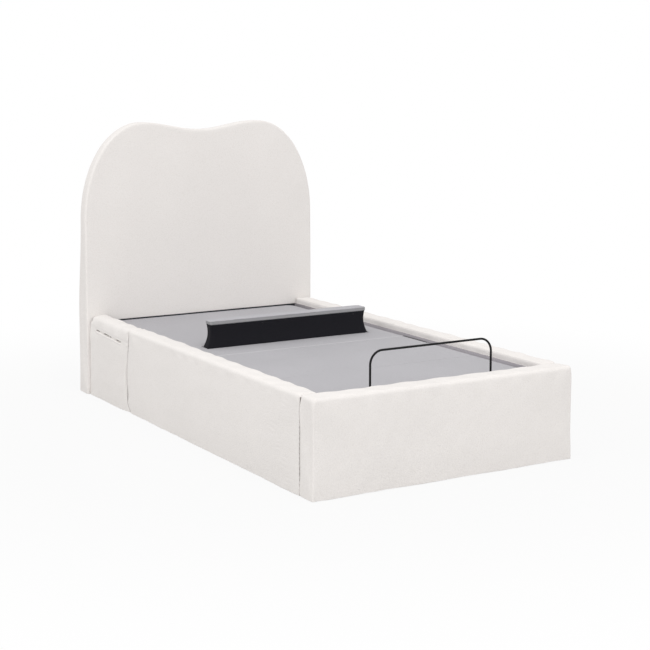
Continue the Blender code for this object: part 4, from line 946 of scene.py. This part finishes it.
bar_low, bar_high = (np.array(v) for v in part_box("retainer_bar"))
wire = (bar_high[1] - bar_low[1]) / 2
bar_y = (bar_low[1] + bar_high[1]) / 2
leg_x, crest_z, bend = bar_high[0] - wire, bar_high[2] - wire, 0.055
foot_z = bar_low[2] + np.array([0, 0.0007, 0.002, 0.004])
turn = np.linspace(pi, pi / 2, 22)
rise = np.concatenate((foot_z, np.linspace(foot_z[-1], crest_z - bend, 24)[1:-1]))
leg = np.stack((np.full(len(rise), -leg_x), rise), -1)
arc = np.stack((bend * np.cos(turn) - leg_x + bend, bend * np.sin(turn) + crest_z - bend), -1)
flat_x = np.linspace(bend - leg_x, 0, 22)[1:]
half_path = np.concatenate((leg, arc, np.stack((flat_x, np.full(len(flat_x), crest_z)), -1)))
path = np.concatenate((half_path, (half_path * (-1, 1))[-2::-1]))
path = np.stack((path[:, 0], np.full(len(path), bar_y), path[:, 1]), -1)
points, faces = sweep(path, wire, 20, (0.0, 1.0, 0.0))
hoop = add_piece("retainer_hoop", points, faces, coated_skin, "retainer")
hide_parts("retainer_bar")


def dress(skin, *names):
    """Gives CAD nodes a finish, by the start of their names."""
    for name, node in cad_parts.items():
        if name.startswith(names):
            node.material_slots[0].material = skin


moulded, given, place = make_effect(
    "moulded_plastic",
    {"Pale": (0.03, 0.03, 0.03, 1), "Grain": 900.0},
)
grain = noise(moulded, place, given["Grain"], 1.0)
rub = noise(moulded, place, 22.0, 5.0)
rubbed = mix_colours(moulded, ramp(moulded, rub, 0.5, 0.8, 0.0, 0.3), given["Pale"], (0.09, 0.09, 0.09, 1))
put_out(moulded, rubbed, ramp(moulded, rub, 0.3, 0.7, 0.42, 0.6), grain)
plastic_skin = make_material("moulded_black", moulded, {"Pale": (0.022, 0.022, 0.024, 1)}, 0.2, 0.0003)
dress(plastic_skin, "retainer_socket", "base_leg", "head_actuator_housing", "foot_actuator_housing")
dress(plastic_skin, "lumbar_actuator", "control_box", "arm_bearing")


# The motion base: welded square tube in a satin black coating, on moulded legs with rubber feet. Zinc-plated
# plates carry the hinges, and the lumbar strip's cradle and the actuators' rods are plated too.
steel_skin = make_material(
    "coated_tube_black",
    coating,
    {"Pale": (0.018, 0.018, 0.02, 1), "Scuff": (0.12, 0.12, 0.12, 1), "Wear": 0.7},
    0.2,
    0.0006,
    specular_ior_level=0.45,
)
dress(steel_skin, "base_side_tube", "base_foot_cross", "base_head_cross", "seat_cross", "centre_cross")
dress(steel_skin, "seat_hinge_bracket", "back_side_tube", "back_head_cross", "back_lever", "leg_cross", "foot_lift")
dress(steel_skin, "corner_bracket", "left_rail_joint")
plating, given, place = make_effect(
    "zinc_plate",
    {"Pale": (0.6, 0.6, 0.62, 1), "Dull": (0.45, 0.46, 0.48, 1), "Spangle": 160.0},
)
cell = add_node(plating, "TexVoronoi", {"Vector": place, "Scale": given["Spangle"]}).outputs["Color"]
shine = add_node(plating, "SeparateColor", {0: cell}).outputs[0]
streak = noise(plating, place, 45.0, 5.0)
dulled = add_sum(plating, "MULTIPLY", shine, 0.4)
dulled = add_sum(plating, "ADD", dulled, ramp(plating, streak, 0.35, 0.65, 0.0, 0.6))
zinc = mix_colours(plating, dulled, given["Pale"], given["Dull"])
put_out(plating, zinc, ramp(plating, dulled, 0, 1, 0.28, 0.46), streak)
zinc_skin = make_material("zinc_plated_steel", plating, {}, 0.1, 0.0004, metallic=1.0)
dress(zinc_skin, "back_hinge_plate", "thigh_hinge_plate", "leg_hinge_plate", "lumbar_cradle", "lumbar_lift")
dress(zinc_skin, "head_actuator_rod", "foot_actuator_rod")


# The panels' boards: planed softwood, hidden by the cloth but seen where a cover is left off.
dress(timber_skin, "headboard_board", "footboard_board", "right_rail_board", "left_rail_board", "pocket_rail_board")


# The fixings: button-headed bolts with washers hold the corner angles and the joint plate to the rails, rubber
# feet cap the legs, and two press studs hold the skirt to the strip's board.
def turned(profile, sides):
    """A shape of revolution about Z: one ring for each radius and height of the profile, closed at both ends."""
    turn = np.linspace(0, 2 * pi, sides, endpoint=False)
    radius, height = np.asarray(profile, float).T
    rings = np.stack((radius[:, None] * np.cos(turn), radius[:, None] * np.sin(turn), height[:, None] + 0 * turn), -1)
    return rings.reshape(-1, 3), tube_faces(len(rings), sides)


def repeat(points, faces, spots, ways):
    """Copies of one shape: its Z axis is turned to each way, and it is moved to each spot."""
    all_points, all_faces = [], []
    for spot, way in zip(spots, ways):
        side = np.cross(way, (0.0, 0.0, 1.0)) if abs(way[2]) < 0.9 else np.array((1.0, 0.0, 0.0))
        side = side / np.linalg.norm(side)
        frame_of = np.stack((side, np.cross(way, side), way))
        start = sum(len(part) for part in all_points)
        all_points.append(points @ frame_of + spot)
        all_faces += [[start + corner for corner in face] for face in faces]
    return np.concatenate(all_points), all_faces


bolt = turned(
    ((0.009, -0.0004), (0.009, 0.0012), (0.0074, 0.0014), (0.0072, 0.003), (0.0058, 0.0047), (0.0036, 0.0052),
     (0.0031, 0.0047), (0.0028, 0.0026)),
    24,
)
angle_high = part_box("corner_bracket_head_right")[1]
angle_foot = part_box("corner_bracket_foot_right")[0][1]
angle_thick, from_corner = 0.005, 0.036
plate_low, plate_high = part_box("left_rail_joint_plate")
spots, ways = [], []
for sign in (-1, 1):
    for face_y, way_y in ((angle_high[1] - angle_thick, -1.0), (angle_foot + angle_thick, 1.0)):
        for z in (0.07, 0.17):
            spots.append((sign * (angle_high[0] - from_corner), face_y, z))
            spots.append((sign * (angle_high[0] - angle_thick), face_y + way_y * 0.035, z))
            ways += [np.array((0.0, way_y, 0.0)), np.array((-float(sign), 0.0, 0.0))]
for y in (plate_low[1] + 0.03, plate_high[1] - 0.03):
    for z in (plate_low[2] + 0.035, plate_high[2] - 0.035):
        spots.append((plate_high[0], y, z))
        ways.append(np.array((1.0, 0.0, 0.0)))
points, faces = repeat(*bolt, spots, ways)
add_piece("surround_bolts", points, faces, zinc_skin, "root")

rubber_skin = make_material("foot_rubber", moulded, {"Pale": (0.012, 0.012, 0.012, 1), "Grain": 500.0}, 0.3, 0.0004)
foot = turned(
    ((0.0225, 0.0002), (0.0242, 0.0012), (0.0248, 0.003), (0.0248, 0.0125), (0.0238, 0.0155), (0.0222, 0.0165)), 40
)
legs = ("base_leg_foot_left", "base_leg_foot_right", "base_leg_head_left", "base_leg_head_right")
spots = [np.mean(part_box(leg), axis=0) * (1, 1, 0) for leg in legs]
points, faces = repeat(*foot, spots, [np.array((0.0, 0.0, 1.0))] * 4)
add_piece("leg_feet", points, faces, rubber_skin, "root")

stud = turned(((0.0024, -0.001), (0.0024, 0.0004), (0.0019, 0.001), (0.0009, 0.0013)), 16)
spots = [(x, strip_y - 0.0262, float(skirt_high[2]) - 0.0105) for x in (-0.146, 0.343)]
points, faces = repeat(*stud, spots, [np.array((0.0, -1.0, 0.0))] * 2)
add_piece("skirt_studs", points, faces, steel_skin, "lumbar_strip")


# The headboard's back: a plain backing cloth, hemmed round its edge.
backing_skin = cloth_skin("backing_cloth", (0.80, 0.78, 0.755), (0.68, 0.66, 0.635), 1500.0, 0.3, 0.0008, 0.2)
hem = 0.034
first = len(flank) - 1
crest_in = crest + inward[first : first + len(crest)][::-1] * hem
flank_in = flank + inward[: len(flank)] * hem
flank_in[:, 1] = np.maximum(flank_in[:, 1], floor_line + hem)
shares = grid_line(0, 1, 0.03, 0.012, 0.012)
points, quads = box_skin(shares, (0.0, 1.0), shares)
flat = fill_outline(points, flank_in, crest_in, flank_in[0, 0], floor_line + hem)
from_rim = np.minimum(points, 1 - points)[:, ::2].min(1)
fold_over = 0.0011 * unit((0.022 - from_rim) / 0.003)
back_y = headboard_high[1] + 0.0002 + points[:, 1] * (0.0012 + fold_over)
back_y = back_y + soft_drift(flat @ np.eye(2, 3), 0.2, 0.0002, 41)
backing = add_piece("headboard_backing", np.stack((flat[:, 0], back_y, flat[:, 1]), -1), quads, backing_skin)
